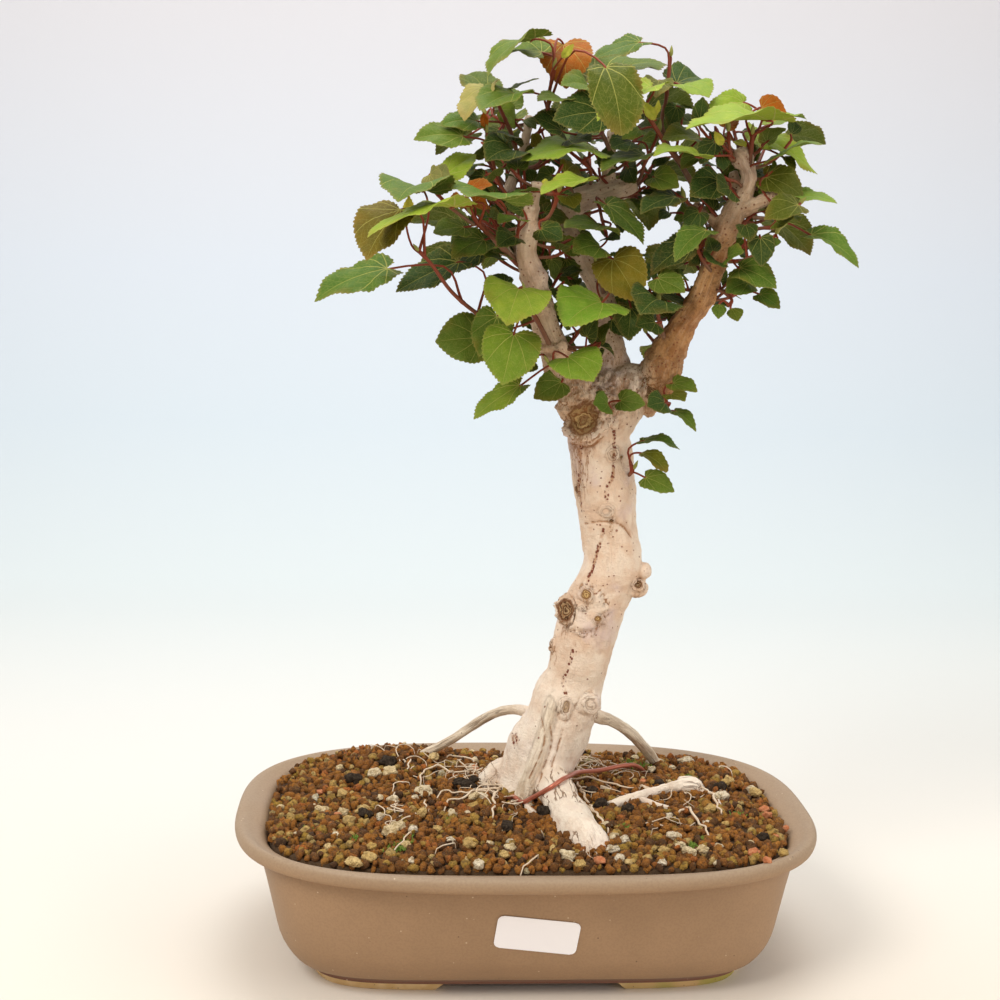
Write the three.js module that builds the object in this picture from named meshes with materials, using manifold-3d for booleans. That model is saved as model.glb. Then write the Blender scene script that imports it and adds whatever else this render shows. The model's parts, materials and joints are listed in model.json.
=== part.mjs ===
// Sea hibiscus bonsai in an oblong stoneware pot. Millimetres, +Z up, X along the pot, -Y to the front.
// Plant and pot are laid out round the middle of the pot on the ground. The last lines move the whole
// object so that its origin is the middle of its own outline, on the ground.
import * as THREE from "three";
import { mergeVertices } from "three/addons/utils/BufferGeometryUtils.js";
import Module from "manifold-3d";

const wasm = await Module();
wasm.setup();

// Pot
const rimHalfLength = 150;
const rimHalfWidth = 108;
const rimHeight = 73;
const rimRoundness = 2.86; // power of the rim's oval: 2 is an ellipse, more is squarer
const footRoundness = 5.6;
const footInset = 38; // how far the base stands in from the rim all round
const ovalSegments = 36;
// Profile as [inset from the rim, height]: from the foot band up, over the lip, down inside
const outerProfile = [[39.5, 4], [39.5, 6], [37.5, 6.5], [31, 13], [24.5, 22], [21, 33], [13, 64]];
const lipProfile = [[1, 66.5], [0, 72.4], [1, 73], [6.5, 73], [17, 70]];
const innerProfile = [[18, 60], [27, 33], [44, 12]];
const footWidth = 15;
const footGap = { front: 95, side: 60, slant: 5 };
const drain = { radius: 8, x: 62 };
const screen = { size: 26, hole: 9, thick: 1 };
const seatGap = 0.35; // clearance between touching pieces

// Soil
const soilGap = 0.45; // between the soil and the pot's wall
const soilEdge = 70.3;
const soilCrown = 3.4;
const soilHeap = { x: -78, y: 74, height: 4.6, spread: 34 };
const grainRelief = 0.9;
const soilRings = [0.16, 0.34, 0.52, 0.7, 0.86, 1];

// Paper label
const label = { x: 0.5, z: 38.5, width: 40, height: 18, corner: 3, tilt: 0.12, thick: 0.6 };

// Leaves
const bladeThickness = 0.8;
const bladeCentre = 0.4; // how far along a blade its middle is
const petioleRadius = 0.68;
const keelDepth = 0.35; // how far a petiole stands below the blade where it joins
const leastTwig = 1.25; // least radius of a twig
const petioleFoot = 0.6; // how thin the petiole is inside its twig, for 1 along its length
const petioleSection = [[-0.95, 0.55], [0.95, 0.55], [0, -1.1]];
const petioleSpacing = 1.9; // least distance between two petioles on their twig
const longPetiole = 13;
// Blades by size: half outline from the notch to the tip as [along the blade, across its width], and the
// points between notch and tip on the midrib
const lobes = {
  large: { over: 30, half: [[-0.1, 0.22], [0.1, 0.49], [0.48, 0.44], [0.8, 0.13]], rib: [0.45] },
  middle: { over: 17, half: [[-0.08, 0.27], [0.24, 0.5], [0.68, 0.27]], rib: [] },
  small: { over: 10, half: [[0.2, 0.5], [0.66, 0.28]], rib: [] },
  bud: { over: 0, half: [[0.32, 0.48]], rib: [] },
};
const turnOfNextLeaf = 137.5 * Math.PI / 180;

// Small helpers

const vec = (p) => new THREE.Vector3(...p);

function solidOf(vertices, triangles) {
  return new wasm.Manifold(new wasm.Mesh({
    numProp: 3,
    vertProperties: new Float32Array(vertices.flat()),
    triVerts: new Uint32Array(triangles.flat()),
  }));
}

function solidOfGeometry(geometry) {
  const bare = geometry.clone();
  bare.deleteAttribute("normal");
  bare.deleteAttribute("uv");
  const merged = mergeVertices(bare, 1e-4);
  return new wasm.Manifold(new wasm.Mesh({
    numProp: 3,
    vertProperties: new Float32Array(merged.attributes.position.array),
    triVerts: new Uint32Array(merged.index.array),
  }));
}

function box(size, centre) {
  return solidOfGeometry(new THREE.BoxGeometry(...size).translate(...centre));
}

function largestBody(solid) {
  const bodies = solid.decompose();
  bodies.sort((a, b) => b.volume() - a.volume());
  return bodies[0];
}

function meshOf(solid, name, colour, roughness) {
  const { numProp, vertProperties, triVerts } = largestBody(solid).getMesh();
  const position = new Float32Array(vertProperties.length / numProp * 3);
  for (let i = 0; i < position.length / 3; i += 1) {
    for (let k = 0; k < 3; k += 1) position[3 * i + k] = vertProperties[numProp * i + k];
  }
  const geometry = new THREE.BufferGeometry();
  geometry.setAttribute("position", new THREE.BufferAttribute(position, 3));
  geometry.setIndex(new THREE.BufferAttribute(new Uint32Array(triVerts), 1));
  geometry.computeVertexNormals();
  const mesh = new THREE.Mesh(geometry, new THREE.MeshStandardMaterial({ color: colour, roughness }));
  mesh.name = name;
  return mesh;
}

const unite = (solids) => solids.reduce((a, b) => a.add(b));

// Same small random generator for every seeded draw
function drawsFrom(seed) {
  let state = seed;
  return () => {
    state = (state * 16807) % 2147483647;
    return state / 2147483647;
  };
}

// Pot

function ovalPower(inset) {
  return rimRoundness + (footRoundness - rimRoundness) * Math.min(inset / footInset, 1) ** 1.3;
}

function ovalPoint(inset, angle, scale = 1) {
  const power = 2 / ovalPower(inset);
  const c = Math.cos(angle);
  const s = Math.sin(angle);
  const x = (rimHalfLength - inset) * Math.sign(c) * Math.abs(c) ** power;
  const y = (rimHalfWidth - inset) * Math.sign(s) * Math.abs(s) ** power;
  return [x * scale, y * scale];
}

function ring(inset, height) {
  const points = [];
  for (let i = 0; i < ovalSegments; i += 1) {
    const [x, y] = ovalPoint(inset, 2 * Math.PI * i / ovalSegments);
    points.push([x, y, typeof height === "function" ? height(x, y) : height]);
  }
  return points;
}

// Closed solid through rings of equal count, with a flat or pointed cap at each end
function loft(rings, firstCap, lastCap) {
  const count = rings[0].length;
  const vertices = rings.flat();
  const triangles = [];
  for (let r = 0; r + 1 < rings.length; r += 1) {
    for (let i = 0; i < count; i += 1) {
      const a = r * count + i;
      const b = r * count + (i + 1) % count;
      triangles.push([a, b, b + count], [a, b + count, a + count]);
    }
  }
  const last = (rings.length - 1) * count;
  const first = vertices.push(firstCap) - 1;
  const end = vertices.push(lastCap) - 1;
  for (let i = 0; i < count; i += 1) {
    const next = (i + 1) % count;
    triangles.push([first, next, i], [end, last + i, last + next]);
  }
  return solidOf(vertices, triangles);
}

function insetAt(height) {
  const profile = outerProfile;
  for (let i = 1; i < profile.length; i += 1) {
    const [inset, top] = profile[i];
    const [lowInset, low] = profile[i - 1];
    if (height <= top) return lowInset + (inset - lowInset) * (height - low) / (top - low);
  }
  return profile[profile.length - 1][0];
}

function potFeet() {
  const height = outerProfile[0][1] + 0.5;
  const inset = outerProfile[0][0];
  const outer = loft([ring(inset + 1, 0), ring(inset, height)], [0, 0, 0], [0, 0, height]);
  const inner = inset + footWidth;
  const hollow = loft([ring(inner, -1), ring(inner, height + 1)], [0, 0, -1], [0, 0, height + 1]);
  const passage = (span, length, turned) => {
    const low = span / 2;
    const high = low - footGap.slant;
    const corners = [[-low, -1], [low, -1], [high, height + 1], [-high, height + 1]];
    const shape = new THREE.Shape(corners.map(([x, y]) => new THREE.Vector2(x, y)));
    const prism = new THREE.ExtrudeGeometry(shape, { depth: length, bevelEnabled: false });
    prism.translate(0, 0, -length / 2).rotateX(Math.PI / 2);
    if (turned) prism.rotateZ(Math.PI / 2);
    return solidOfGeometry(prism);
  };
  const full = 2 * rimHalfLength;
  const frame = outer.subtract(hollow);
  return frame.subtract(passage(footGap.front, full, false)).subtract(passage(footGap.side, full, true));
}

function pot() {
  const rings = [...outerProfile, ...lipProfile, ...innerProfile].map(([inset, z]) => ring(inset, z));
  const floor = innerProfile[innerProfile.length - 1][1];
  const body = loft(rings, [0, 0, outerProfile[0][1]], [0, 0, floor]);
  const bore = (x) => solidOfGeometry(
    new THREE.CylinderGeometry(drain.radius, drain.radius, 30, 12).rotateX(Math.PI / 2).translate(x, 0, 5));
  return body.add(potFeet()).subtract(bore(drain.x)).subtract(bore(-drain.x));
}

function drainScreen(x) {
  const z = innerProfile[innerProfile.length - 1][1] + seatGap + screen.thick / 2;
  const offset = screen.size / 4;
  let plate = box([screen.size, screen.size, screen.thick], [x, 0, z]);
  for (const [dx, dy] of [[-offset, -offset], [offset, -offset], [offset, offset], [-offset, offset]]) {
    plate = plate.subtract(box([screen.hole, screen.hole, 4 * screen.thick], [x + dx, dy, z]));
  }
  return plate;
}

function paperLabel() {
  const columns = [-1, -0.35, 0.35, 1];
  const rows = [-1, -0.84, -0.5, 0.5, 0.84, 1];
  const halfWidth = label.width / 2;
  const halfHeight = label.height / 2;
  const layer = (out) => rows.flatMap((v) => columns.map((u) => {
    const past = Math.max(Math.abs(v) * halfHeight - (halfHeight - label.corner), 0);
    const wide = halfWidth - label.corner + Math.sqrt(label.corner ** 2 - past ** 2);
    const across = u * wide;
    const up = v * halfHeight;
    const x = label.x + across * Math.cos(label.tilt) + up * Math.sin(label.tilt);
    const z = label.z + up * Math.cos(label.tilt) - across * Math.sin(label.tilt);
    const inset = insetAt(z);
    const power = ovalPower(inset);
    const partWay = Math.abs(x) / (rimHalfLength - inset);
    const y = -(rimHalfWidth - inset) * (1 - partWay ** power) ** (1 / power);
    return [x, y - out, z];
  }));
  const vertices = [...layer(seatGap), ...layer(seatGap + label.thick)];
  const wide = columns.length;
  const half = wide * rows.length;
  const triangles = [];
  for (let r = 0; r + 1 < rows.length; r += 1) {
    for (let c = 0; c + 1 < wide; c += 1) {
      const a = r * wide + c;
      const b = a + half;
      triangles.push([a, a + wide, a + wide + 1], [a, a + wide + 1, a + 1]);
      triangles.push([b, b + 1, b + wide + 1], [b, b + wide + 1, b + wide]);
    }
  }
  const edge = [];
  for (let c = 0; c < wide; c += 1) edge.push(c);
  for (let r = 1; r < rows.length; r += 1) edge.push(r * wide + wide - 1);
  for (let c = wide - 2; c >= 0; c -= 1) edge.push((rows.length - 1) * wide + c);
  for (let r = rows.length - 2; r > 0; r -= 1) edge.push(r * wide);
  edge.forEach((a, i) => {
    const b = edge[(i + 1) % edge.length];
    triangles.push([a, b, b + half], [a, b + half, a + half]);
  });
  return solidOf(vertices, triangles);
}

// Soil: bed with its crown, its heap and the relief of its grains

function soilHeight(x, y, edge) {
  const heap = Math.hypot(x - soilHeap.x, y - soilHeap.y) / soilHeap.spread;
  const lengthwise = Math.sin(0.71 * x + 1.7 * Math.sin(0.43 * y));
  const crosswise = Math.cos(0.83 * y + 1.1 * Math.sin(0.37 * x));
  const relief = grainRelief * (lengthwise + crosswise) * (1 - 0.7 * edge ** 6);
  return soilEdge + soilCrown * (1 - edge ** 3) + soilHeap.height * Math.exp(-heap * heap) + relief;
}

function soilBed() {
  const floor = innerProfile[innerProfile.length - 1][1];
  const rise = (z) => (z === floor ? z + seatGap : z);
  const under = innerProfile.map(([inset, z]) => [inset + soilGap, rise(z)]).reverse();
  const rings = under.map(([inset, z]) => ring(inset, z));
  const rimInset = lipProfile[lipProfile.length - 1][0] + 1.2;
  for (const part of [...soilRings].reverse()) {
    const shrunk = ring(rimInset, 0).map(([x, y]) => [x * part, y * part]);
    rings.push(shrunk.map(([x, y]) => [x, y, soilHeight(x, y, part)]));
  }
  const centre = [0, 0, soilHeight(0, 0, 0)];
  return loft(rings, [0, 0, under[0][1]], centre);
}

// Wood

// Round limb through points, with its own radius at each, and a knobbly skin
function limb(points, radii, { sides = 12, step = 8, knobbly = 0.05, grow = 0, point = false } = {}) {
  const curve = new THREE.CatmullRomCurve3(points.map(vec), false, "centripetal");
  const length = curve.getLength();
  const steps = Math.max(2, Math.round(length / step));
  const rings = [];
  let across = new THREE.Vector3(0, 1, 0.01);
  for (let i = 0; i <= steps; i += 1) {
    const t = i / steps;
    const at = curve.getPoint(t);
    const along = curve.getTangent(t);
    across = across.clone().addScaledVector(along, -across.dot(along)).normalize();
    const other = along.clone().cross(across);
    const place = t * (radii.length - 1);
    const low = Math.min(Math.floor(place), radii.length - 2);
    const radius = radii[low] + (radii[low + 1] - radii[low]) * (place - low);
    const loop = [];
    for (let k = 0; k < sides; k += 1) {
      const a = 2 * Math.PI * k / sides;
      const run = t * length;
      const skin = 1 + knobbly * (Math.sin(3 * a + run * 0.09) + 0.7 * Math.sin(2 * a - run * 0.16 + 1));
      const r = radius * skin + grow;
      const p = at.clone().addScaledVector(across, r * Math.cos(a)).addScaledVector(other, r * Math.sin(a));
      loop.push(p.toArray());
    }
    rings.push(loop);
  }
  const start = curve.getPoint(0).addScaledVector(curve.getTangent(0), -grow - 0.01).toArray();
  const tipRise = point ? radii[radii.length - 1] * 1.5 : 0.01;
  const end = curve.getPoint(1).addScaledVector(curve.getTangent(1), grow + tipRise).toArray();
  return loft(rings, start, end);
}

const burlShape = new THREE.SphereGeometry(1, 6, 4);

function burl([at, size], grow) {
  const [x, y, z] = size.map((half) => half + grow);
  return solidOfGeometry(burlShape.clone().scale(x, y, z).translate(...at));
}

// Each limb of the tree as its points and its radius at them
const limbs = [
  { // trunk, from under the soil to the stub at its head
    points: [[4, 20, 46], [5, 19, 60], [7, 18, 72], [10, 19, 91], [16, 20, 106], [22, 21, 122],
        [28, 21, 136], [31, 20, 151],
      [36, 20, 174], [42, 20, 188], [45, 19, 203], [43, 19, 218], [41, 18, 232], [37, 18, 254],
          [36, 17, 270], [42, 17, 286], [48, 16, 299]],
    radii: [15, 21, 19.5, 19.2, 19, 17.8, 15.6, 16.6, 16.2, 15.4, 14.9, 15.1, 16, 16, 16.4, 18, 12],
    sides: 10, step: 15, knobbly: 0.035,
  },
  { points: [[28, 12, 276], [19, 5, 291], [11, 0, 309], [4, -2, 327], [-1, -3, 344], [-6, -4, 359],
      [-6, -5, 370], [-5, -6, 379], [-3, -7, 388], [-2, -8, 395]],
    radii: [9, 8.6, 7.8, 6.8, 6.2, 5.2, 5.4, 4.2, 3.3, 2.8], sides: 7, step: 14 },
  { points: [[-3, 1, 347], [-11, 13, 364], [-16, 17, 380], [-14, 18, 392], [-9, 19, 404], [-6, 20, 417],
      [-4, 22, 429]],
    radii: [3.4, 3.3, 3.1, 2.8, 2.6, 2.5, 2.4], sides: 5, step: 16 },
  { points: [[43, 20, 288], [38, 24, 320], [36, 25, 341], [25, 26, 359], [17, 28, 375], [22, 28, 387],
      [36, 26, 391], [45, 24, 394], [52, 23, 397]],
    radii: [11.5, 7.8, 5.7, 5.2, 5.2, 5.9, 6.2, 5.4, 4.4], sides: 7, step: 14 },
  { points: [[37, 26, 389], [38, 25, 406], [39, 24, 423]], radii: [3.9, 3.3, 2.8], sides: 5, step: 16 },
  { points: [[55, 17, 283], [66, 12, 301], [70, 8, 313], [77, 3, 328], [84, 0, 340], [88, -2, 353],
      [91, -4, 364], [94, -5, 374], [98, -6, 384], [102, -7, 392], [104, -8, 400], [101, -9, 408],
      [98, -9, 413]],
    radii: [12.6, 11.4, 9.2, 6.9, 6.3, 5.8, 5, 5.8, 5.4, 4.5, 4, 4, 3.3], sides: 7, step: 14 },
  { points: [[98, -6, 382], [109, -11, 387], [117, -13, 391]], radii: [3.8, 3.5, 3.1], sides: 5, step: 16 },
  { points: [[93, -4, 374], [86, 1, 381], [79, 4, 386]], radii: [3.4, 3, 2.6], sides: 6, step: 9 },
  { points: [[102, -5, 388], [99, 0, 394], [98, 2, 403]], radii: [3, 2.8, 2.5], sides: 6, step: 9 },
  { points: [[10, 0, 312], [13, -10, 315]], radii: [2.9, 2.7], sides: 6, step: 9 },
  // front root, running down from the trunk into the soil
  { points: [[13, 12, 90], [15, -1, 84], [19, -23, 77], [24, -43, 72], [29, -59, 67], [32, -69, 59]],
    radii: [8, 9, 10, 11.2, 11.4, 7], sides: 8, step: 16 },
  // squat root on the left with its thin end
  { points: [[4, 24, 78], [-7, 28, 80], [-15, 28, 77], [-20, 25, 66]],
    radii: [8, 8.5, 8, 6.5], sides: 8, step: 9 },
  { points: [[-19, 31, 74], [-31, 59, 74.5], [-38, 68, 73], [-43, 74, 68]],
    radii: [2.4, 1.7, 1.4, 1], sides: 4, step: 14, knobbly: 0 },
  // bowed roots, left and right
  { points: [[12, 19, 117], [3, 24, 116], [-6, 31, 115], [-15, 39, 110], [-25, 48, 101], [-37, 56, 90],
      [-51, 64, 80], [-63, 68, 73], [-74, 71, 62]],
    radii: [3.6, 2.8, 2.6, 2.6, 2.5, 2.4, 2.3, 2.3, 1.6], sides: 5, step: 16 },
  { points: [[30, 14, 122], [39, 20, 115], [48, 28, 110], [59, 39, 101], [69, 50, 90], [77, 60, 79],
      [82, 66, 70], [86, 70, 60]],
    radii: [5, 3.8, 3.3, 3.1, 3, 3.2, 3, 2], sides: 6, step: 15 },
  // surface root on the right: cut end, fork, knuckle, and its way back to the trunk under the soil
  { points: [[45, -11, 74.5], [57, -2, 75.5], [68, 4, 76.5], [79, 12, 77], [89, 19, 76]],
    radii: [3.6, 3.3, 3, 2.8, 4], sides: 6, step: 12 },
  { points: [[86, 19, 75], [93, 20, 74.5], [99, 20, 72]], radii: [6, 6.2, 3], sides: 7, step: 7 },
  { points: [[90, 20, 71], [70, 22, 62], [40, 20, 57], [12, 19, 58]],
    radii: [4, 4.5, 5.5, 6], sides: 5, step: 20, knobbly: 0 },
  { points: [[60, 0, 75.5], [69, -8, 74.5], [78, -12, 73.5]],
    radii: [2.2, 1.7, 1.2], sides: 4, step: 12, knobbly: 0 },
  { points: [[96, 20, 73.5], [103, 8, 73.5], [103, -8, 73], [101, -18, 70]],
    radii: [2, 1.5, 1.3, 1], sides: 4, step: 14, knobbly: 0 },
  { points: [[9, 4, 80], [1, -9, 76], [4, -24, 74], [9, -40, 72], [12, -47, 68]],
    radii: [2.6, 1.9, 1.9, 1.7, 1.2], sides: 4, step: 14, knobbly: 0 },
  // ridge that runs down the front of the trunk's foot
  { points: [[16, 9, 130], [14, 6, 124], [12, 4, 116], [9, 2, 106], [6, 1, 97], [3, 0, 88], [0, -2, 78],
      [-2, -3, 70]],
    radii: [3, 4, 4.2, 4.2, 4.4, 4.8, 5, 4.5], sides: 6, step: 15 },
];

// Burls, pruning scars and the swellings under them: centre and half sizes
const burls = [
  [[28, 9, 271], [11, 9, 9]], [[59, 16, 192], [7.5, 6, 6.5]], [[21, 15, 175], [6, 8, 7]], [[33, 7, 182], [7, 4, 6]],
  [[18, 9, 125], [8, 7, 8]], [[35, 12, 126], [6, 7, 7]],
  [[64, 5, 303], [8, 6, 8]], [[50, 13, 291], [13, 12, 14]], 
  [[100, -9, 409], [5.5, 5, 5.5]], [[18, 28, 384], [6, 6, 7]],
  [[-6, -5, 371], [6, 6, 4.5]], [[-2, -3, 348], [7.5, 7, 6]],
];

function tree(grow) {
  const parts = limbs.map(({ points, radii, ...shape }) => limb(points, radii, { ...shape, grow }));
  return unite([...parts, ...burls.map((b) => burl(b, grow))]);
}

// Copper-brown anchor wire: a hoop over the foot of the trunk, both ends in the soil
const wirePath = [
  [-11, 12, 62], [-9, 6, 71], [-6, -2, 77], [-2, -11, 77], [3, -14, 80.5], [8, -18, 85], [13, -20, 89],
  [18, -16, 91], [23, -6, 89.5], [29, 8, 87], [44, 27, 82], [58, 38, 81], [65, 43, 79.5], [71, 48, 74], [74, 51, 62],
];

function wire(grow) {
  return limb(wirePath, [1.2, 1.2], { sides: 6, step: 9, knobbly: 0, grow });
}

// Leafy shoots. A twig is its points and its thickness at both ends. A leaf is: where on the twig its petiole
// starts (0 to 1), blade base, blade tip, the way its upper face looks as [bearing from the front, height] in
// degrees, and its width for a length of 1.
const leafyShoots = [
  { name: "shoot_far_left", colour: "#5f8f35", thick: [1.7, 1.1],
    twig: [[7, 4, 311], [-8, -4, 318], [-26, -12, 327], [-43, -21, 340], [-54, -28, 354], [-60, -30, 360]],
    leaves: [
      [0.62, [-75, -25, 351], [-110, -33, 337], [-10, 35], 0.85],
      [0.5, [-40, -7, 355], [-71, -11, 340], [10, 20], 0.8],
      [1, [-58, -37, 388], [-70, -69, 383], [0, 85], 0.95],
      [0.97, [-69, -38, 379], [-85, -55, 356], [-35, 15], 0.95],
      [1, [-66, -28, 373], [-65, -32, 386], [20, 0], 0.6],
    ] },
  { name: "shoot_left_mid", colour: "#5f8f35", thick: [2.2, 1.3],
    twig: [[-9, -1, 354], [-21, -11, 365], [-31, -18, 374], [-34, -20, 378]],
    leaves: [
      [0.9, [-44, -45, 381], [-84, -67, 365], [0, 80], 0.8],
      [0.5, [-22, -35, 385], [-38, -68, 386], [0, 70], 1],
      [0.9, [-38, -17, 372], [-53, -24, 369], [0, 50], 0.9],
      [0.7, [-35, -6, 370], [-44, 1, 363], [0, 20], 0.9],
      [0.45, [-28, -15, 366], [-44, -22, 357], [-10, 40], 0.9],
      [0.35, [-29, -4, 361], [-43, 13, 354], [0, 30], 0.9],
      [1, [-37, -20, 387], [-25, -29, 392], [0, 45], 0.8],
      [1, [-37, -24, 384], [-45, -33, 383], [0, 35], 0.9],
      [1, [-33, -20, 384], [-25, -12, 382], [0, 35], 0.9],
    ] },
  { name: "shoot_left_curl", colour: "#a3863f", thick: [1.2, 0.9],
    twig: [[-33, -18, 373], [-46, -23, 382], [-52, -27, 388]],
    leaves: [
      [1, [-55, -29, 396], [-48, -37, 388], [-40, 10], 1],
      [1, [-51, -23, 394], [-47, -17, 402], [20, 10], 0.9],
      [0.8, [-47, -11, 397], [-32, -4, 408], [0, 45], 0.7],
    ] },
  { name: "shoot_upper_left", colour: "#5f8f35", thick: [1.6, 1.0],
    twig: [[-9, 17, 406], [-14, 10, 419], [-18, 6, 427], [-22, 3, 434]],
    leaves: [
      [0.35, [-32, -2, 424], [-50, -11, 421], [0, 45], 0.75],
      [1, [-28, -2, 440], [-39, -18, 423], [-20, 20], 0.8],
      [0.7, [-17, 5, 439], [-2, -6, 445], [0, 70], 0.7],
      [0.6, [-19, 13, 431], [-10, 23, 424], [0, 30], 0.9],
      [1, [-24, -1, 433], [-23, -5, 441], [0, 0], 0.5],
      [0.3, [-13, 3, 415], [-22, -11, 418], [0, 60], 0.7],
    ] },
  { name: "shoot_left_back", colour: "#5f8f35", thick: [1.4, 0.9],
    twig: [[-15, 17, 387], [-20, 7, 396], [-24, -1, 406], [-27, -6, 418]],
    leaves: [
      [0.72, [-39, -8, 416], [-63, -14, 414], [0, 45], 0.75],
      [0.3, [-34, 4, 403], [-46, -11, 396], [0, 80], 0.8],
      [0.45, [-13, -3, 410], [-28, -22, 404], [-10, 35], 0.9],
      [1, [-28, -6, 420], [-29, -6, 428], [0, 0], 0.5],
      [0.25, [-26, 18, 397], [-30, 36, 402], [0, 40], 0.9],
    ] },
  { name: "shoot_top_left", colour: "#5f8f35", thick: [1.9, 1.0],
    twig: [[20, 25, 388], [12, 19, 407], [5, 12, 427], [4, 6, 437], [5, 2, 445], [6, 0, 450]],
    leaves: [
      [1, [-6, -2, 465], [-27, -18, 446], [-20, 62], 0.9],
      [1, [0, 8, 459], [-20, 23, 457], [0, 60], 0.9],
      [1, [12, 21, 465], [13, 9, 442], [0, 5], 1.05],
      [0.62, [-14, -9, 437], [-32, -30, 426], [0, 30], 0.9],
      [0.72, [26, -26, 447], [35, -42, 417], [10, 12], 0.98],
      [1, [8, -5, 455], [16, -13, 459], [0, 20], 0.7],
      [0.55, [14, 0, 434], [-3, -15, 434], [0, 70], 0.85],
    ] },
  { name: "shoot_top_mid", colour: "#5f8f35", thick: [1.5, 0.9],
    twig: [[37, 18, 413], [30, 12, 425], [25, 7, 434], [20, 5, 441]],
    leaves: [
      [0.75, [25, 14, 435], [16, 23, 436], [0, 5], 1.1],
      [0.5, [28, -10, 429], [4, -20, 424], [0, 25], 0.85],
      [1, [30, 14, 448], [67, 30, 459], [0, 70], 0.8],
      [1, [24, -1, 441], [8, -15, 441], [0, 45], 0.8],
      [0.2, [27, 24, 419], [15, 43, 423], [0, 45], 0.9],
      [0.3, [10, -6, 420], [-5, -13, 426], [-10, 40], 0.9],
    ] },
  { name: "shoot_top_right", colour: "#b9b84a", thick: [2.0, 1.3],
    twig: [[77, 3, 397], [69, 0, 408], [63, -4, 414], [53, -8, 427], [49, -11, 432]],
    leaves: [
      [1, [52, -17, 441], [24, -30, 424], [0, 80], 0.75],
      [1, [55, -13, 426], [48, -19, 434], [-20, 10], 0.6],
      [1, [54, -12, 427], [56, -16, 435], [20, 0], 0.6],
      [0.35, [68, 4, 434], [64, 2, 424], [0, 10], 0.9],
      [0.3, [77, 11, 427], [59, 26, 429], [0, 70], 0.8],
    ] },
  { name: "shoot_top_cut", colour: "#5f8f35", thick: [1.4, 1.1],
    twig: [[64, -2, 414], [61, 4, 426], [63, 6, 437], [64, 7, 448], [65, 8, 459]],
    leaves: [
      [0.82, [48, -1, 464], [24, -10, 457], [0, 40], 0.85],
      [0.72, [70, 5, 445], [81, -14, 438], [10, 50], 0.95],
      [0.72, [70, 16, 447], [86, 31, 451], [0, 45], 0.95],
      [0.4, [70, 14, 435], [84, 21, 432], [0, 80], 0.6],
      [0.6, [58, 0, 446], [55, -13, 437], [0, 50], 0.9],
    ] },
  { name: "shoot_right_top", colour: "#9db453", thick: [1.6, 1.1],
    twig: [[103, -10, 402], [103, -14, 413], [103, -16, 420]],
    leaves: [
      [1, [109, -27, 426], [65, -42, 421], [0, 82], 0.8],
      [1, [107, -15, 433], [119, -17, 431], [10, 5], 1.05],
      [0.8, [100, -6, 436], [80, -9, 431], [0, 40], 0.7],
      [0.7, [114, -7, 426], [134, 2, 430], [0, 80], 0.6],
      [0.6, [107, -1, 422], [140, -3, 403], [20, 60], 0.62],
      [0.1, [112, -19, 408], [135, -28, 416], [0, 80], 0.7],
      [0.2, [122, -4, 410], [126, -10, 403], [20, 60], 0.7],
    ] },
  { name: "shoot_right_top_left", colour: "#b9b84a", thick: [1.4, 1.0],
    twig: [[97, -10, 408], [93, -14, 408], [91, -18, 415], [90, -20, 421]],
    leaves: [
      [0.5, [87, -23, 414], [82, -27, 420], [-20, 10], 0.7],
      [0.2, [85, -14, 416], [77, -18, 405], [-20, 20], 0.8],
      [0.15, [75, -27, 408], [51, -37, 408], [0, 75], 0.85],
      [1, [93, -22, 416], [97, -30, 413], [0, 45], 0.8],
      [0.8, [91, -8, 424], [96, 0, 431], [0, 20], 0.8],
      [0.4, [79, -3, 418], [59, -12, 417], [0, 55], 0.85],
    ] },
  { name: "shoot_right_left", colour: "#5f8f35", thick: [1.3, 0.9],
    twig: [[81, -1, 383], [75, -5, 386], [72, -7, 389]],
    leaves: [
      [1, [67, -10, 389], [48, -21, 382], [-10, 45], 0.9],
      [0.8, [57, -3, 399], [68, -13, 394], [-10, 30], 0.9],
      [0.1, [79, -11, 382], [72, -16, 372], [-10, 20], 0.9],
    ] },
  { name: "shoot_right_inner", colour: "#3c6427", thick: [1.1, 0.8],
    twig: [[101, -8, 394], [97, -13, 397], [92, -16, 398], [88, -18, 399]],
    leaves: [
      [1, [87, -18, 397], [71, -27, 389], [-10, 25], 0.9],
      [1, [91, -24, 393], [83, -35, 392], [0, 20], 1.2],
    ] },
  { name: "shoot_right_low_left", colour: "#3c6427", thick: [1.3, 0.9],
    twig: [[87, -7, 353], [81, -13, 359], [78, -16, 364]],
    leaves: [
      [1, [81, -20, 373], [64, -31, 360], [-10, 25], 0.8],
      [1, [80, -1, 368], [56, -5, 353], [-10, 20], 0.85],
      [0.6, [86, -13, 363], [82, -21, 370], [-20, 30], 0.8],
      [0.4, [87, -20, 358], [81, -30, 358], [0, 40], 1.2],
    ] },
  { name: "shoot_right_side", colour: "#5f8f35", thick: [1.3, 0.9],
    twig: [[95, -9, 358], [102, -13, 359], [108, -17, 363], [113, -19, 368], [116, -20, 372]],
    leaves: [
      [0.15, [99, -18, 355], [116, -27, 346], [5, 40], 0.85],
      [0.6, [107, -25, 370], [107, -31, 356], [0, 10], 0.85],
      [0.35, [100, -22, 376], [101, -30, 368], [0, 25], 0.9],
      [0.2, [92, -22, 360], [97, -34, 363], [0, 25], 0.9],
      [1, [116, -23, 370], [114, -27, 366], [0, 20], 0.7],
    ] },
  { name: "shoot_right_cluster", colour: "#7c7d2b", thick: [1.3, 0.9],
    twig: [[106, -11, 380], [114, -15, 380], [120, -19, 383], [125, -22, 386]],
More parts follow.
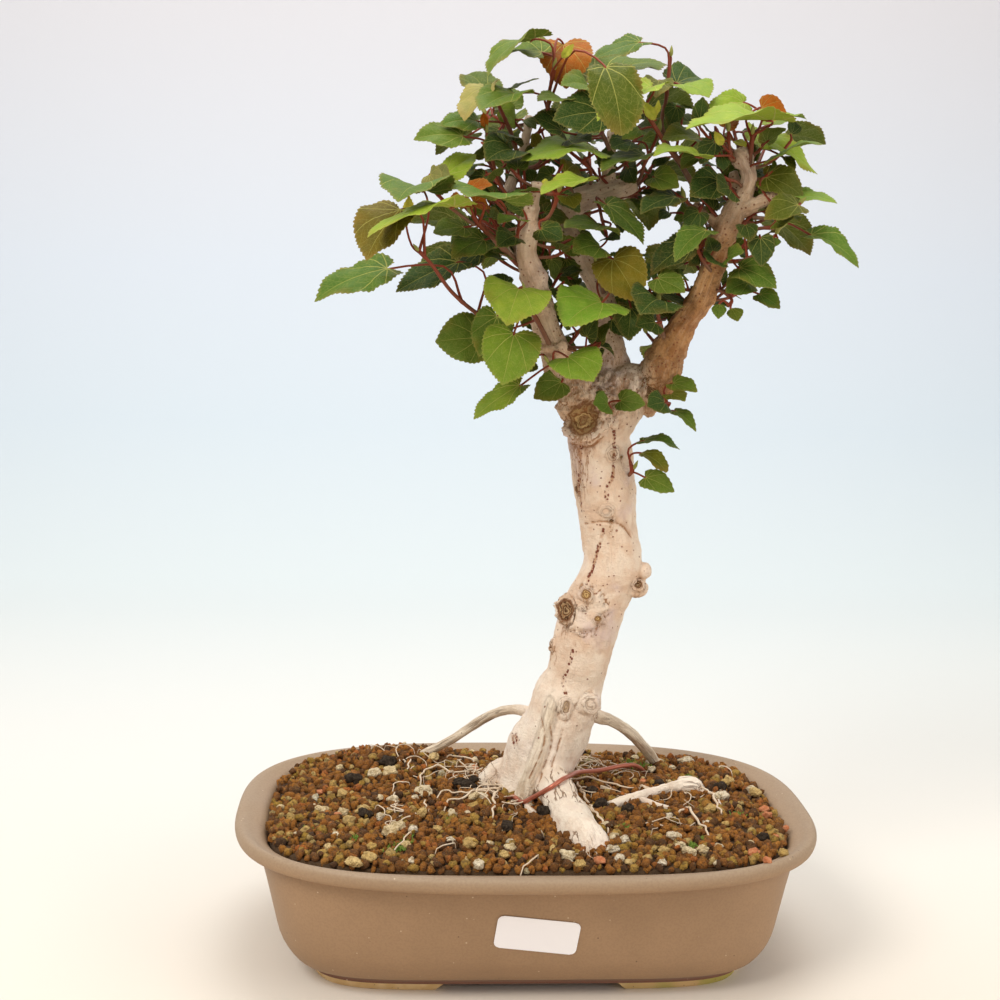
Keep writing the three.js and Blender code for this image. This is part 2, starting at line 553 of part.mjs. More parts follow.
    leaves: [
      [1, [122, -5, 389], [146, -19, 388], [5, 72], 0.75],
      [0.6, [112, -10, 400], [131, -13, 390], [5, 30], 0.8],
      [1, [124, -29, 386], [103, -37, 380], [0, 25], 0.8],
      [0.4, [117, 1, 391], [136, 20, 397], [20, 45], 0.9],
    ] },
  { name: "shoot_far_right", colour: "#a3863f", thick: [1.3, 1.0],
    twig: [[106, -11, 374], [111, -15, 375], [116, -17, 375]],
    leaves: [
      [1, [134, -18, 372], [157, -26, 359], [10, 45], 0.8],
      [1, [115, -23, 378], [121, -34, 380], [0, 25], 1],
      [0.8, [119, -13, 375], [116, -3, 372], [0, 30], 0.9],
    ] },
  { name: "shoot_right_knob", colour: "#5f8f35", thick: [1.1, 0.8],
    twig: [[86, -2, 344], [93, -6, 343], [97, -12, 339], [95, -14, 336]],
    leaves: [
      [0.6, [105, -11, 348], [93, -16, 343], [0, 35], 1.1],
      [1, [90, -16, 337], [89, -20, 330], [-10, 10], 0.9],
      [1, [96, -16, 335], [99, -20, 329], [10, 10], 1.1],
    ] },
  { name: "shoot_mid_fork", colour: "#3c6427", thick: [1.6, 1.1],
    twig: [[66, 2, 319], [62, -2, 329], [61, -6, 337]],
    leaves: [
      [1, [61, -10, 338], [48, -33, 332], [-5, 35], 0.95],
      [1, [63, 0, 341], [77, 15, 339], [0, 50], 0.9],
      [0.9, [60, -8, 349], [72, -19, 343], [0, 28], 0.85],
      [0.4, [59, -10, 327], [48, -21, 326], [0, 30], 0.9],
      [0.3, [69, 14, 329], [79, 23, 332], [0, 40], 0.9],
    ] },
  { name: "shoot_heart_stem", colour: "#3c6427", thick: [1.7, 1.1],
    twig: [[36, 18, 341], [32, 8, 349], [30, 2, 355]],
    leaves: [
      [1, [38, 0, 358], [50, -11, 337], [0, 15], 0.95],
      [0.4, [27, -14, 334], [22, -41, 324], [0, 45], 1.1],
      [0.8, [43, 11, 359], [61, 22, 359], [0, 75], 0.7],
      [0.5, [48, 1, 334], [46, -7, 318], [0, 20], 0.9],
      [0.6, [40, 8, 328], [53, 19, 319], [0, 30], 0.9],
    ] },
  { name: "shoot_front_left", colour: "#5f8f35", thick: [1.9, 1.3],
    twig: [[10, -3, 309], [4, -12, 319], [-2, -19, 329], [-7, -24, 337], [-8, -26, 342]],
    leaves: [
      [1, [-10, -29, 343], [-19, -49, 321], [0, 30], 1.1],
      [0.75, [-12, -29, 321], [-19, -43, 293], [0, 18], 0.95],
      [0.6, [-29, -12, 318], [-51, -17, 316], [0, 15], 1.1],
      [0.75, [-21, -23, 329], [-30, -30, 310], [0, 20], 0.85],
      [0.9, [-17, -9, 344], [-23, 1, 349], [0, 40], 0.9],
    ] },
  { name: "shoot_low_left", colour: "#9db453", thick: [1.5, 1.0],
    twig: [[14, -1, 301], [9, -8, 304], [6, -10, 306]],
    leaves: [
      [0.7, [14, -27, 310], [24, -44, 298], [0, 35], 1.15],
      [0.5, [-9, -19, 295], [-32, -24, 279], [-5, 35], 0.7],
      [0.5, [13, -5, 296], [-1, -10, 288], [0, 25], 0.9],
      [1, [-2, -4, 307], [-5, -8, 301], [0, 15], 1.2],
    ] },
  { name: "shoot_trunk_front", colour: "#5f8f35", thick: [1.2, 0.8],
    twig: [[37, 3, 279], [38, -8, 283], [37, -11, 285]],
    leaves: [
      [0.8, [42, -15, 288], [54, -21, 287], [0, 25], 0.85],
      [1, [36, -14, 286], [28, -22, 287], [0, 25], 1.1],
      [1, [34, -10, 289], [30, -12, 292], [0, 30], 0.9],
    ] },
  { name: "shoot_trunk_right", colour: "#5f8f35", thick: [1.2, 0.8],
    twig: [[63, 6, 285], [67, 0, 282], [68, -4, 286]],
    leaves: [
      [1, [71, 0, 296], [82, -9, 293], [10, 40], 0.8],
      [1, [69, -8, 291], [74, -19, 289], [10, 30], 0.9],
      [0.7, [65, -12, 287], [55, -21, 286], [0, 30], 1],
      [0.6, [72, -4, 282], [82, -11, 273], [10, 60], 0.55],
    ] },
  { name: "shoot_trunk_low", colour: "#5f8f35", thick: [1.2, 0.9],
    twig: [[51, 9, 247], [52, 6, 249], [53, 5, 251]],
    leaves: [
      [1, [57, 2, 266], [75, -5, 263], [10, 75], 0.6],
      [0.8, [56, -1, 260], [68, -10, 252], [20, 50], 0.6],
      [0.6, [59, 2, 247], [73, -5, 241], [5, 25], 0.7],
    ] },
  { name: "shoot_inner_left", colour: "#3c6427", thick: [1.1, 0.8],
    twig: [[-8, -6, 364], [-11, -11, 367], [-11, -15, 373]],
    leaves: [
      [1, [-11, -20, 376], [-22, -32, 374], [0, 70], 0.8],
      [0.5, [-13, -17, 368], [-22, -29, 363], [-10, 20], 0.9],
      [1, [-9, -11, 381], [-18, -15, 384], [-10, 30], 0.9],
    ] },
  { name: "shoot_inner_right", colour: "#a3863f", thick: [1.3, 0.9],
    twig: [[-1, -6, 374], [4, -12, 378], [7, -16, 385], [8, -20, 390]],
    leaves: [
      [1, [19, -28, 395], [-3, -43, 388], [0, 80], 0.7],
      [1, [5, -20, 394], [10, -25, 398], [0, 30], 0.8],
      [1, [4, -20, 393], [-1, -26, 394], [0, 30], 0.8],
      [0.3, [0, -16, 372], [10, -25, 367], [5, 20], 0.9],
      [0.7, [12, -21, 388], [15, -29, 382], [10, 20], 1.1],
      [0.9, [12, -7, 400], [22, 3, 399], [0, 30], 1],
    ] },
  { name: "shoot_inner_top", colour: "#a3863f", thick: [1.2, 0.8],
    twig: [[28, 22, 396], [27, 14, 402], [22, 9, 407]],
    leaves: [
      [1, [26, -3, 412], [-11, -16, 406], [0, 70], 0.7],
      [1, [14, -1, 416], [24, -14, 415], [0, 45], 0.9],
      [0.8, [3, -1, 412], [6, -13, 406], [0, 25], 0.9],
      [0.6, [0, 8, 413], [-4, 4, 419], [0, 25], 0.9],
    ] },
  { name: "shoot_C_right", colour: "#5f8f35", thick: [1.3, 0.9],
    twig: [[52, 22, 397], [53, 16, 400], [54, 11, 406], [58, 4, 417], [59, 1, 421]],
    leaves: [
      [0.5, [52, -3, 409], [28, -20, 401], [0, 80], 0.7],
      [0.6, [45, -2, 416], [34, -13, 412], [0, 45], 0.9],
      [0.3, [57, 15, 402], [60, 30, 398], [10, 30], 0.9],
      [1, [49, -1, 422], [40, -6, 417], [0, 50], 0.9],
    ] },
  { name: "shoot_C_low", colour: "#5f8f35", thick: [1.1, 0.8],
    twig: [[33, 25, 388], [33, 17, 382], [34, 10, 375], [35, 4, 370]],
    leaves: [
      [0.3, [34, 2, 385], [52, -11, 368], [20, 25], 0.62],
      [0.6, [33, -2, 373], [11, -19, 373], [0, 70], 0.8],
      [1, [31, -2, 364], [16, -15, 361], [0, 40], 0.9],
      [1, [36, 9, 369], [41, 0, 368], [10, 20], 1.1],
    ] },
];

// Twigs on the hidden side: where each leaves the wood, its heading, its length and its number of leaves
const rearTwigs = [
  { at: [-7, 22, 414], heading: [-0.6, 0.7, 0.35], length: 30, leaves: 5 },
  { at: [-9, 1, 357], heading: [-0.75, 0.65, 0.15], length: 34, leaves: 5 },
  { at: [15, 32, 370], heading: [-0.35, 0.92, 0.1], length: 34, leaves: 5 },
  { at: [30, 32, 391], heading: [0.05, 0.9, 0.42], length: 32, leaves: 5 },
  { at: [39, 27, 416], heading: [0.25, 0.8, 0.55], length: 30, leaves: 5 },
  { at: [49, 27, 393], heading: [0.45, 0.85, 0.2], length: 34, leaves: 5 },
  { at: [86, 5, 350], heading: [0.1, 0.95, 0.25], length: 32, leaves: 5 },
  { at: [104, -4, 398], heading: [0.45, 0.8, 0.4], length: 30, leaves: 5 },
  { at: [97, -3, 380], heading: [0.7, 0.7, 0.1], length: 35, leaves: 5 },
  { at: [38, 30, 328], heading: [-0.25, 0.95, 0.15], length: 30, leaves: 5 },
  { at: [-5, 22, 388], heading: [-0.2, 0.95, 0.1], length: 30, leaves: 5 },
  { at: [69, 12, 312], heading: [-0.3, 0.95, 0.1], length: 24, leaves: 4 },
];
const rear = {
  petiole: [9, 17], // shortest and longest
  blade: [20, 33],
  width: 0.9,
  firstLeaf: 0.25, // where on the twig the leaves begin
  lean: 0.6, // how far petioles lean towards the twig's end
  droop: [0.35, 0.75],
  faceHeight: 50,
  thick: [1.5, 0.9],
  colour: "#4f7d30",
  clearance: 5.2,
  seed: 54,
};

const upward = new THREE.Vector3(0, 0, 1);

// Blade with its own frame and its fold, arch and ripple
function bladeOf([, base, tip, [bearing, height], width], draw) {
  const from = vec(base);
  const along = vec(tip).sub(from);
  const length = along.length();
  along.normalize();
  const a = bearing * Math.PI / 180;
  const h = height * Math.PI / 180;
  const face = new THREE.Vector3(Math.sin(a) * Math.cos(h), -Math.cos(a) * Math.cos(h), Math.sin(h));
  face.addScaledVector(along, -face.dot(along)).normalize();
  const side = face.clone().cross(along);
  return {
    from, along, face, side, length, width: width * length,
    fold: 0.08 + 0.3 * draw(), arch: 0.02 + 0.09 * draw(), phase: 2 * Math.PI * draw(),
  };
}

// Point of a blade: u along it (0 at the petiole, 1 at the tip), v across it (-0.5 to 0.5 of its width)
function onBlade(blade, u, v, off = 0) {
  const ripple = 0.05 * Math.sin(7 * u + blade.phase) * Math.abs(v) * 2;
  const bow = blade.arch * 4 * u * (1 - u);
  const rise = blade.length * (bow + ripple) + blade.fold * Math.abs(v) * blade.width;
  return blade.from.clone().addScaledVector(blade.along, u * blade.length)
    .addScaledVector(blade.side, v * blade.width).addScaledVector(blade.face, rise + off);
}

// Elbow of a petiole: it leaves the notch backwards, then runs to its twig
function elbowOf(blade, root) {
  const length = root.distanceTo(blade.from);
  return blade.from.clone().lerp(root, 0.45).addScaledVector(blade.along, -0.35 * length)
    .addScaledVector(upward, 0.06 * length);
}

// Blade and petiole as one closed body: the petiole grows three-sided out of the notch between the lobes
function leafSolid(blade, root, grow) {
  const size = Object.keys(lobes).find((name) => blade.length > lobes[name].over);
  const { half: halfOutline, rib: ribPoints } = lobes[size];
  const longer = 1 + 2 * grow / blade.length;
  const wider = 1 + 2 * grow / blade.width;
  const swell = ([u, v]) => [bladeCentre + (u - bladeCentre) * longer, v * wider];
  const neck = (petioleRadius + grow) / blade.width;
  const rib = [...ribPoints, 1].map((u) => swell([u, 0]));
  const right = [[0, neck], ...halfOutline.map(swell)];
  const left = right.map(([u, v]) => [u, -v]);
  const flat = [...rib, ...right, ...left];
  const tip = rib.length - 1;
  const rightStart = rib.length;
  const leftStart = rightStart + right.length;
  const strip = (start, turn) => {
    const edge = [...right.map((_, i) => start + i), tip];
    const faces = [];
    let r = 0;
    let e = 0;
    while (r < tip || e < edge.length - 1) {
      const stepEdge = r === tip || (e < edge.length - 1 && flat[edge[e + 1]][0] <= flat[r + 1][0]);
      const face = stepEdge ? [r, edge[e + 1], edge[e]] : [r, r + 1, edge[e]];
      if (new Set(face).size === 3) faces.push(turn ? face.reverse() : face);
      if (stepEdge) e += 1;
      else r += 1;
    }
    return faces;
  };
  const halves = [...strip(rightStart, false), ...strip(leftStart, true)];
  const thick = bladeThickness / 2 + grow;
  const layer = (off) => flat.map(([u, v]) => onBlade(blade, u, v, off).toArray());
  const vertices = [...layer(thick), ...layer(-thick)];
  const count = flat.length;
  // On the under side both corners of the notch are one point, the keel of the petiole
  const keel = rightStart + count;
  vertices[keel] = onBlade(blade, 0, 0, -thick - keelDepth).toArray();
  const below = (i) => (i === leftStart ? keel : i + count);
  const underside = halves.map(([a, b, c]) => [below(a), below(c), below(b)]);
  const triangles = [[leftStart, 0, rightStart], ...halves, ...underside];
  const lastLeft = leftStart + left.length - 1;
  const outline = [...right.map((_, i) => rightStart + i), tip, ...left.map((_, i) => lastLeft - i)];
  for (let i = 0; i + 1 < outline.length; i += 1) {
    const a = outline[i];
    const b = outline[i + 1];
    triangles.push([a, b, below(b)], [a, below(b), below(a)]);
  }
  const back = blade.along.clone().negate();
  const elbow = elbowOf(blade, root);
  const straight = root.clone().sub(blade.from);
  const length = straight.length();
  straight.normalize();
  const bent = length > longPetiole || straight.dot(back) < 0.3 || Math.abs(straight.dot(blade.side)) > 0.6;
  const route = bent ? [elbow, root] : [root];
  const r = petioleRadius + grow;
  let before = blade.from;
  let ring = [leftStart, rightStart, keel];
  route.forEach((at, i) => {
    const way = at.clone().sub(before).normalize();
    const after = i + 1 < route.length ? route[i + 1].clone().sub(at).normalize() : way;
    const turn = new THREE.Quaternion().setFromUnitVectors(back, way.clone().add(after).normalize());
    const side = blade.side.clone().applyQuaternion(turn);
    const face = blade.face.clone().applyQuaternion(turn);
    const width = i + 1 < route.length ? r : petioleFoot * petioleRadius + grow;
    const next = petioleSection.map(([across, up]) => {
      const corner = at.clone().addScaledVector(side, across * width).addScaledVector(face, up * width);
      return vertices.push(corner.toArray()) - 1;
    });
    for (let k = 0; k < 3; k += 1) {
      const m = (k + 1) % 3;
      triangles.push([ring[k], ring[m], next[m]], [ring[k], next[m], next[k]]);
    }
    ring = next;
    before = at;
  });
  triangles.push(ring);
  return solidOf(vertices, triangles);
}

function pointOnTwig(twig, part) {
  const curve = new THREE.CatmullRomCurve3(twig.map(vec), false, "centripetal");
  return curve.getPointAt(Math.min(part, 0.999));
}

// Petioles that start close together on a twig are set apart along it, from its tip backwards
function spacedStarts(twig, starts) {
  const length = new THREE.CatmullRomCurve3(twig.map(vec), false, "centripetal").getLength();
  const order = starts.map((_, i) => i).sort((a, b) => starts[b] - starts[a] || a - b);
  const spaced = [];
  let limit = 1 - 0.4 / length;
  for (const i of order) {
    spaced[i] = Math.max(Math.min(starts[i], limit), 0.02);
    limit = spaced[i] - petioleSpacing / length;
  }
  return spaced;
}

// Every blade is sampled, so that the twigs on the hidden side leave out what would cross another leaf
const taken = [];
for (const { points, radii } of limbs) {
  const curve = new THREE.CatmullRomCurve3(points.map(vec), false, "centripetal");
  const count = Math.max(2, Math.round(curve.getLength() / 6));
  for (let i = 0; i <= count; i += 1) {
    const radius = radii[Math.round(i / count * (radii.length - 1))];
    taken.push({ at: curve.getPoint(i / count), room: radius + 1.5 });
  }
}

function samplesOf(blade) {
  const spots = [];
  for (const u of [0.08, 0.32, 0.56, 0.8, 1]) {
    for (const v of u < 0.7 ? [-0.42, -0.2, 0, 0.2, 0.42] : [0]) spots.push(onBlade(blade, u, v));
  }
  return spots;
}

const isClear = (spots) => spots.every((p) => taken.every(({ at, room }) => p.distanceTo(at) > room));

function take(spots) {
  for (const at of spots) taken.push({ at, room: rear.clearance });
}

const drawShape = drawsFrom(19);
const shoots = leafyShoots.map((shoot) => {
  const starts = spacedStarts(shoot.twig, shoot.leaves.map(([start]) => start));
  const blades = shoot.leaves.map((leaf, i) => ({ start: starts[i], blade: bladeOf(leaf, drawShape) }));
  blades.forEach(({ blade }) => take(samplesOf(blade)));
  return { ...shoot, blades };
});

const drawRear = drawsFrom(rear.seed);
rearTwigs.forEach(({ at, heading, length, leaves }, index) => {
  const out = vec(heading).normalize();
  const root = vec(at);
  const bend = root.clone().addScaledVector(out, length * 0.5).addScaledVector(upward, length * 0.06);
  const end = root.clone().addScaledVector(out, length).addScaledVector(upward, length * 0.22);
  const twig = [root, bend, end].map((p) => p.toArray());
  const level = out.clone().cross(upward).normalize();
  const raised = level.clone().cross(out);
  const blades = [];
  for (let i = 0; i < leaves; i += 1) {
    const start = rear.firstLeaf + (1 - rear.firstLeaf) * (i + 1) / leaves;
    const turn = i * turnOfNextLeaf + 2 * Math.PI * drawRear();
    const petiole = rear.petiole[0] + (rear.petiole[1] - rear.petiole[0]) * drawRear();
    const size = rear.blade[0] + (rear.blade[1] - rear.blade[0]) * drawRear() * (1.15 - 0.3 * start);
    const away = level.clone().multiplyScalar(Math.cos(turn)).addScaledVector(raised, 0.75 * Math.sin(turn));
    const stalk = out.clone().multiplyScalar(rear.lean).addScaledVector(away, 0.85).normalize();
    const base = pointOnTwig(twig, start).addScaledVector(stalk, petiole);
    const droop = rear.droop[0] + (rear.droop[1] - rear.droop[0]) * drawRear();
    const lie = stalk.clone().addScaledVector(out, 0.4).addScaledVector(upward, -droop).normalize();
    const tip = base.clone().addScaledVector(lie, size);
    const bearing = Math.atan2(out.x, -out.y) * 180 / Math.PI;
    const leaf = [start, base.toArray(), tip.toArray(), [bearing, rear.faceHeight], rear.width];
    const blade = bladeOf(leaf, drawRear);
    const spots = samplesOf(blade);
    if (!isClear(spots)) continue;
    take(spots);
    blades.push({ start, blade });
  }
  shoots.push({ name: `shoot_rear_${index + 1}`, colour: rear.colour, thick: rear.thick, twig, blades });
});

function shootSolid({ twig, thick, blades }, grow) {
  const radii = thick.map((v) => Math.max(v, leastTwig));
  const stem = limb(twig, radii, { sides: 4, step: 14, knobbly: 0, grow, point: true });
  const leaves = blades.map(({ start, blade }) => leafSolid(blade, pointOnTwig(twig, start), grow));
  return unite([stem, ...leaves]);
}

// Assembly: soil is cut clear of the wood, of the wire and of the screens

const screenPocket = (x) => box(
  [screen.size + 1, screen.size + 1, 2 * (screen.thick + 2 * seatGap)],
  [x, 0, innerProfile[innerProfile.length - 1][1]],
);
const woodGrown = tree(seatGap);
const wireGrown = wire(seatGap);
const wood = tree(0).subtract(wireGrown);
const soil = soilBed().subtract(woodGrown).subtract(wireGrown)
  .subtract(screenPocket(drain.x)).subtract(screenPocket(-drain.x));
const meshes = [
  meshOf(wood, "trunk", "#cbb093", 0.8),
  meshOf(pot(), "pot", "#8c7563", 0.75),
  meshOf(soil, "soil", "#6b4a2c", 0.95),
  meshOf(drainScreen(-drain.x), "drain_screen_left", "#2b2b2b", 0.6),
  meshOf(drainScreen(drain.x), "drain_screen_right", "#2b2b2b", 0.6),
  meshOf(wire(0), "anchor_wire", "#7b4a42", 0.35),
  meshOf(paperLabel(), "label", "#efe9ea", 0.6),
];

// Leafy shoots, each cut clear of the wood and of the shoots before it
const done = [];
for (const shoot of shoots) {
  let solid = shootSolid(shoot, 0).subtract(woodGrown);
  const grown = shootSolid(shoot, seatGap);
  const bounds = new THREE.Box3(vec(grown.boundingBox().min), vec(grown.boundingBox().max));
  for (const other of done) {
    if (other.bounds.intersectsBox(bounds)) solid = solid.subtract(other.grown);
  }
  done.push({ grown, bounds });
  meshes.push(meshOf(solid, shoot.name, shoot.colour, 0.6));
}

// The whole object, set with the middle of its outline on the origin
const placed = new THREE.Group();
placed.add(...meshes);
const outline = new THREE.Box3().setFromObject(placed);
const middle = outline.getCenter(new THREE.Vector3());
placed.position.set(-middle.x, -middle.y, -outline.min.z);
const bonsai = new THREE.Group();
bonsai.add(placed);

export default bonsai;
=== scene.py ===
"""Sea hibiscus bonsai in an oblong stoneware pot: matt clay, soil grains, bark, roots and leaves.

Sizes are millimetres from the middle of the pot on the ground, +Z up and -Y to the front, until a mesh is
made.
"""
import json
import math

import bmesh
import bpy
import numpy as np
from mathutils import Matrix, Vector, noise
from mathutils.bvhtree import BVHTree


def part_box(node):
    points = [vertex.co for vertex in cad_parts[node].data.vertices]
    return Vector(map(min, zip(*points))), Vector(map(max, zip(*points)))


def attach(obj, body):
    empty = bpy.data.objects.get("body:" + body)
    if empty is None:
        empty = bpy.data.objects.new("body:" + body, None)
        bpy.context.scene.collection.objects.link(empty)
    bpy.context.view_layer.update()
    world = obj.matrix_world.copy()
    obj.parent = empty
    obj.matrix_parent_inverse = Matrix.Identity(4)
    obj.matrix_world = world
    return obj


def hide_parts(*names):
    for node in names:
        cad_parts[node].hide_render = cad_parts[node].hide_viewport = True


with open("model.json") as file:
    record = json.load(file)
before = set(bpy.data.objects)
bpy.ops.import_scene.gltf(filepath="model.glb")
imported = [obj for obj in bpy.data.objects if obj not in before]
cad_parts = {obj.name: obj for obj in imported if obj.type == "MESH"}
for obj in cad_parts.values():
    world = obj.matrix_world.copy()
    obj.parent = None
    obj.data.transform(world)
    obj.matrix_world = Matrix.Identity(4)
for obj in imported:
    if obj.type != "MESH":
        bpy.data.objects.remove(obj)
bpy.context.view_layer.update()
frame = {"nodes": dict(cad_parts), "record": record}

pot_low, pot_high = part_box("pot")
POT_MIDDLE = np.array([(pot_low.x + pot_high.x) / 2, (pot_low.y + pot_high.y) / 2, pot_low.z])
MM = 0.001

# Pot
RIM_HALF = np.array([150.0, 108.0])
RIM_ROUNDNESS = 2.86  # power of the rim's oval: 2 is an ellipse, more is squarer
FOOT_ROUNDNESS = 5.6
FOOT_INSET = 38.0
POT_SEGMENTS = 224
# Profile as (inset from the rim, height): foot band, wall, lip with its groove, inside down to the floor
FOOT_BAND = [(39.6, 4.0), (39.6, 6.4), (38.9, 7.0)]
WALL = [(38.3, 7.1), (33.6, 8.8), (29, 12.8), (23.6, 21), (20.3, 33), (16.9, 47), (13.9, 59), (13.8, 63)]
LIP = [(12.2, 64.6), (7, 64.9), (3, 65.2), (1.2, 66.2), (0.3, 68.0), (0.05, 70.0), (0.5, 71.8), (1.7, 72.8),
       (3.4, 73), (5.6, 72.7), (8.8, 71.6), (11.6, 70.9), (14.2, 70), (16.2, 68.4), (17.2, 65.6)]
INSIDE = [(18, 60), (27, 33), (34, 20), (44, 12)]
FOOT_HEIGHT = 4.4
FOOT_TOP_INSET = 40.2
FOOT_WIDTH = 13.5
FOOT_GAP = {"front": 95.0, "side": 60.0, "slant": 5.0}

# Soil
SOIL_RIM_INSET = 18.2
SOIL_EDGE = 70.3
SOIL_CROWN = 3.4
HEAP = {"x": -74.0, "y": 72.0, "height": 8.5, "spread": 36.0}

# Paper label
LABEL = {"x": 0.5, "z": 38.5, "width": 40.0, "height": 18.0, "corner": 3.0, "tilt": 0.12, "off": 0.35,
         "thick": 0.3}

# Leaves
BLADE_THICKNESS = 0.36
PETIOLE_RADIUS = 0.55
LEAST_TWIG = 1.05
PETIOLE_SPACING = 1.9
# light is painted light: a lit copy of the green for blades that face up to the lamps. dark and rear are
# painted shade: darker copies of the green for blades in the crown's shade and on the hidden side.
LEAF_TONES = {  # upper side, as seen
    "green": (0.103, 0.17, 0.02), "light": (0.28, 0.385, 0.036), "fresh": (0.175, 0.27, 0.024),
    "dark": (0.036, 0.07, 0.012), "olive": (0.105, 0.12, 0.010), "bronze": (0.175, 0.145, 0.011),
    "khaki": (0.30, 0.265, 0.085), "copper": (0.125, 0.092, 0.006), "orange": (0.38, 0.10, 0.006),
    "bud": (0.52, 0.52, 0.07), "rear": (0.072, 0.11, 0.012),
}
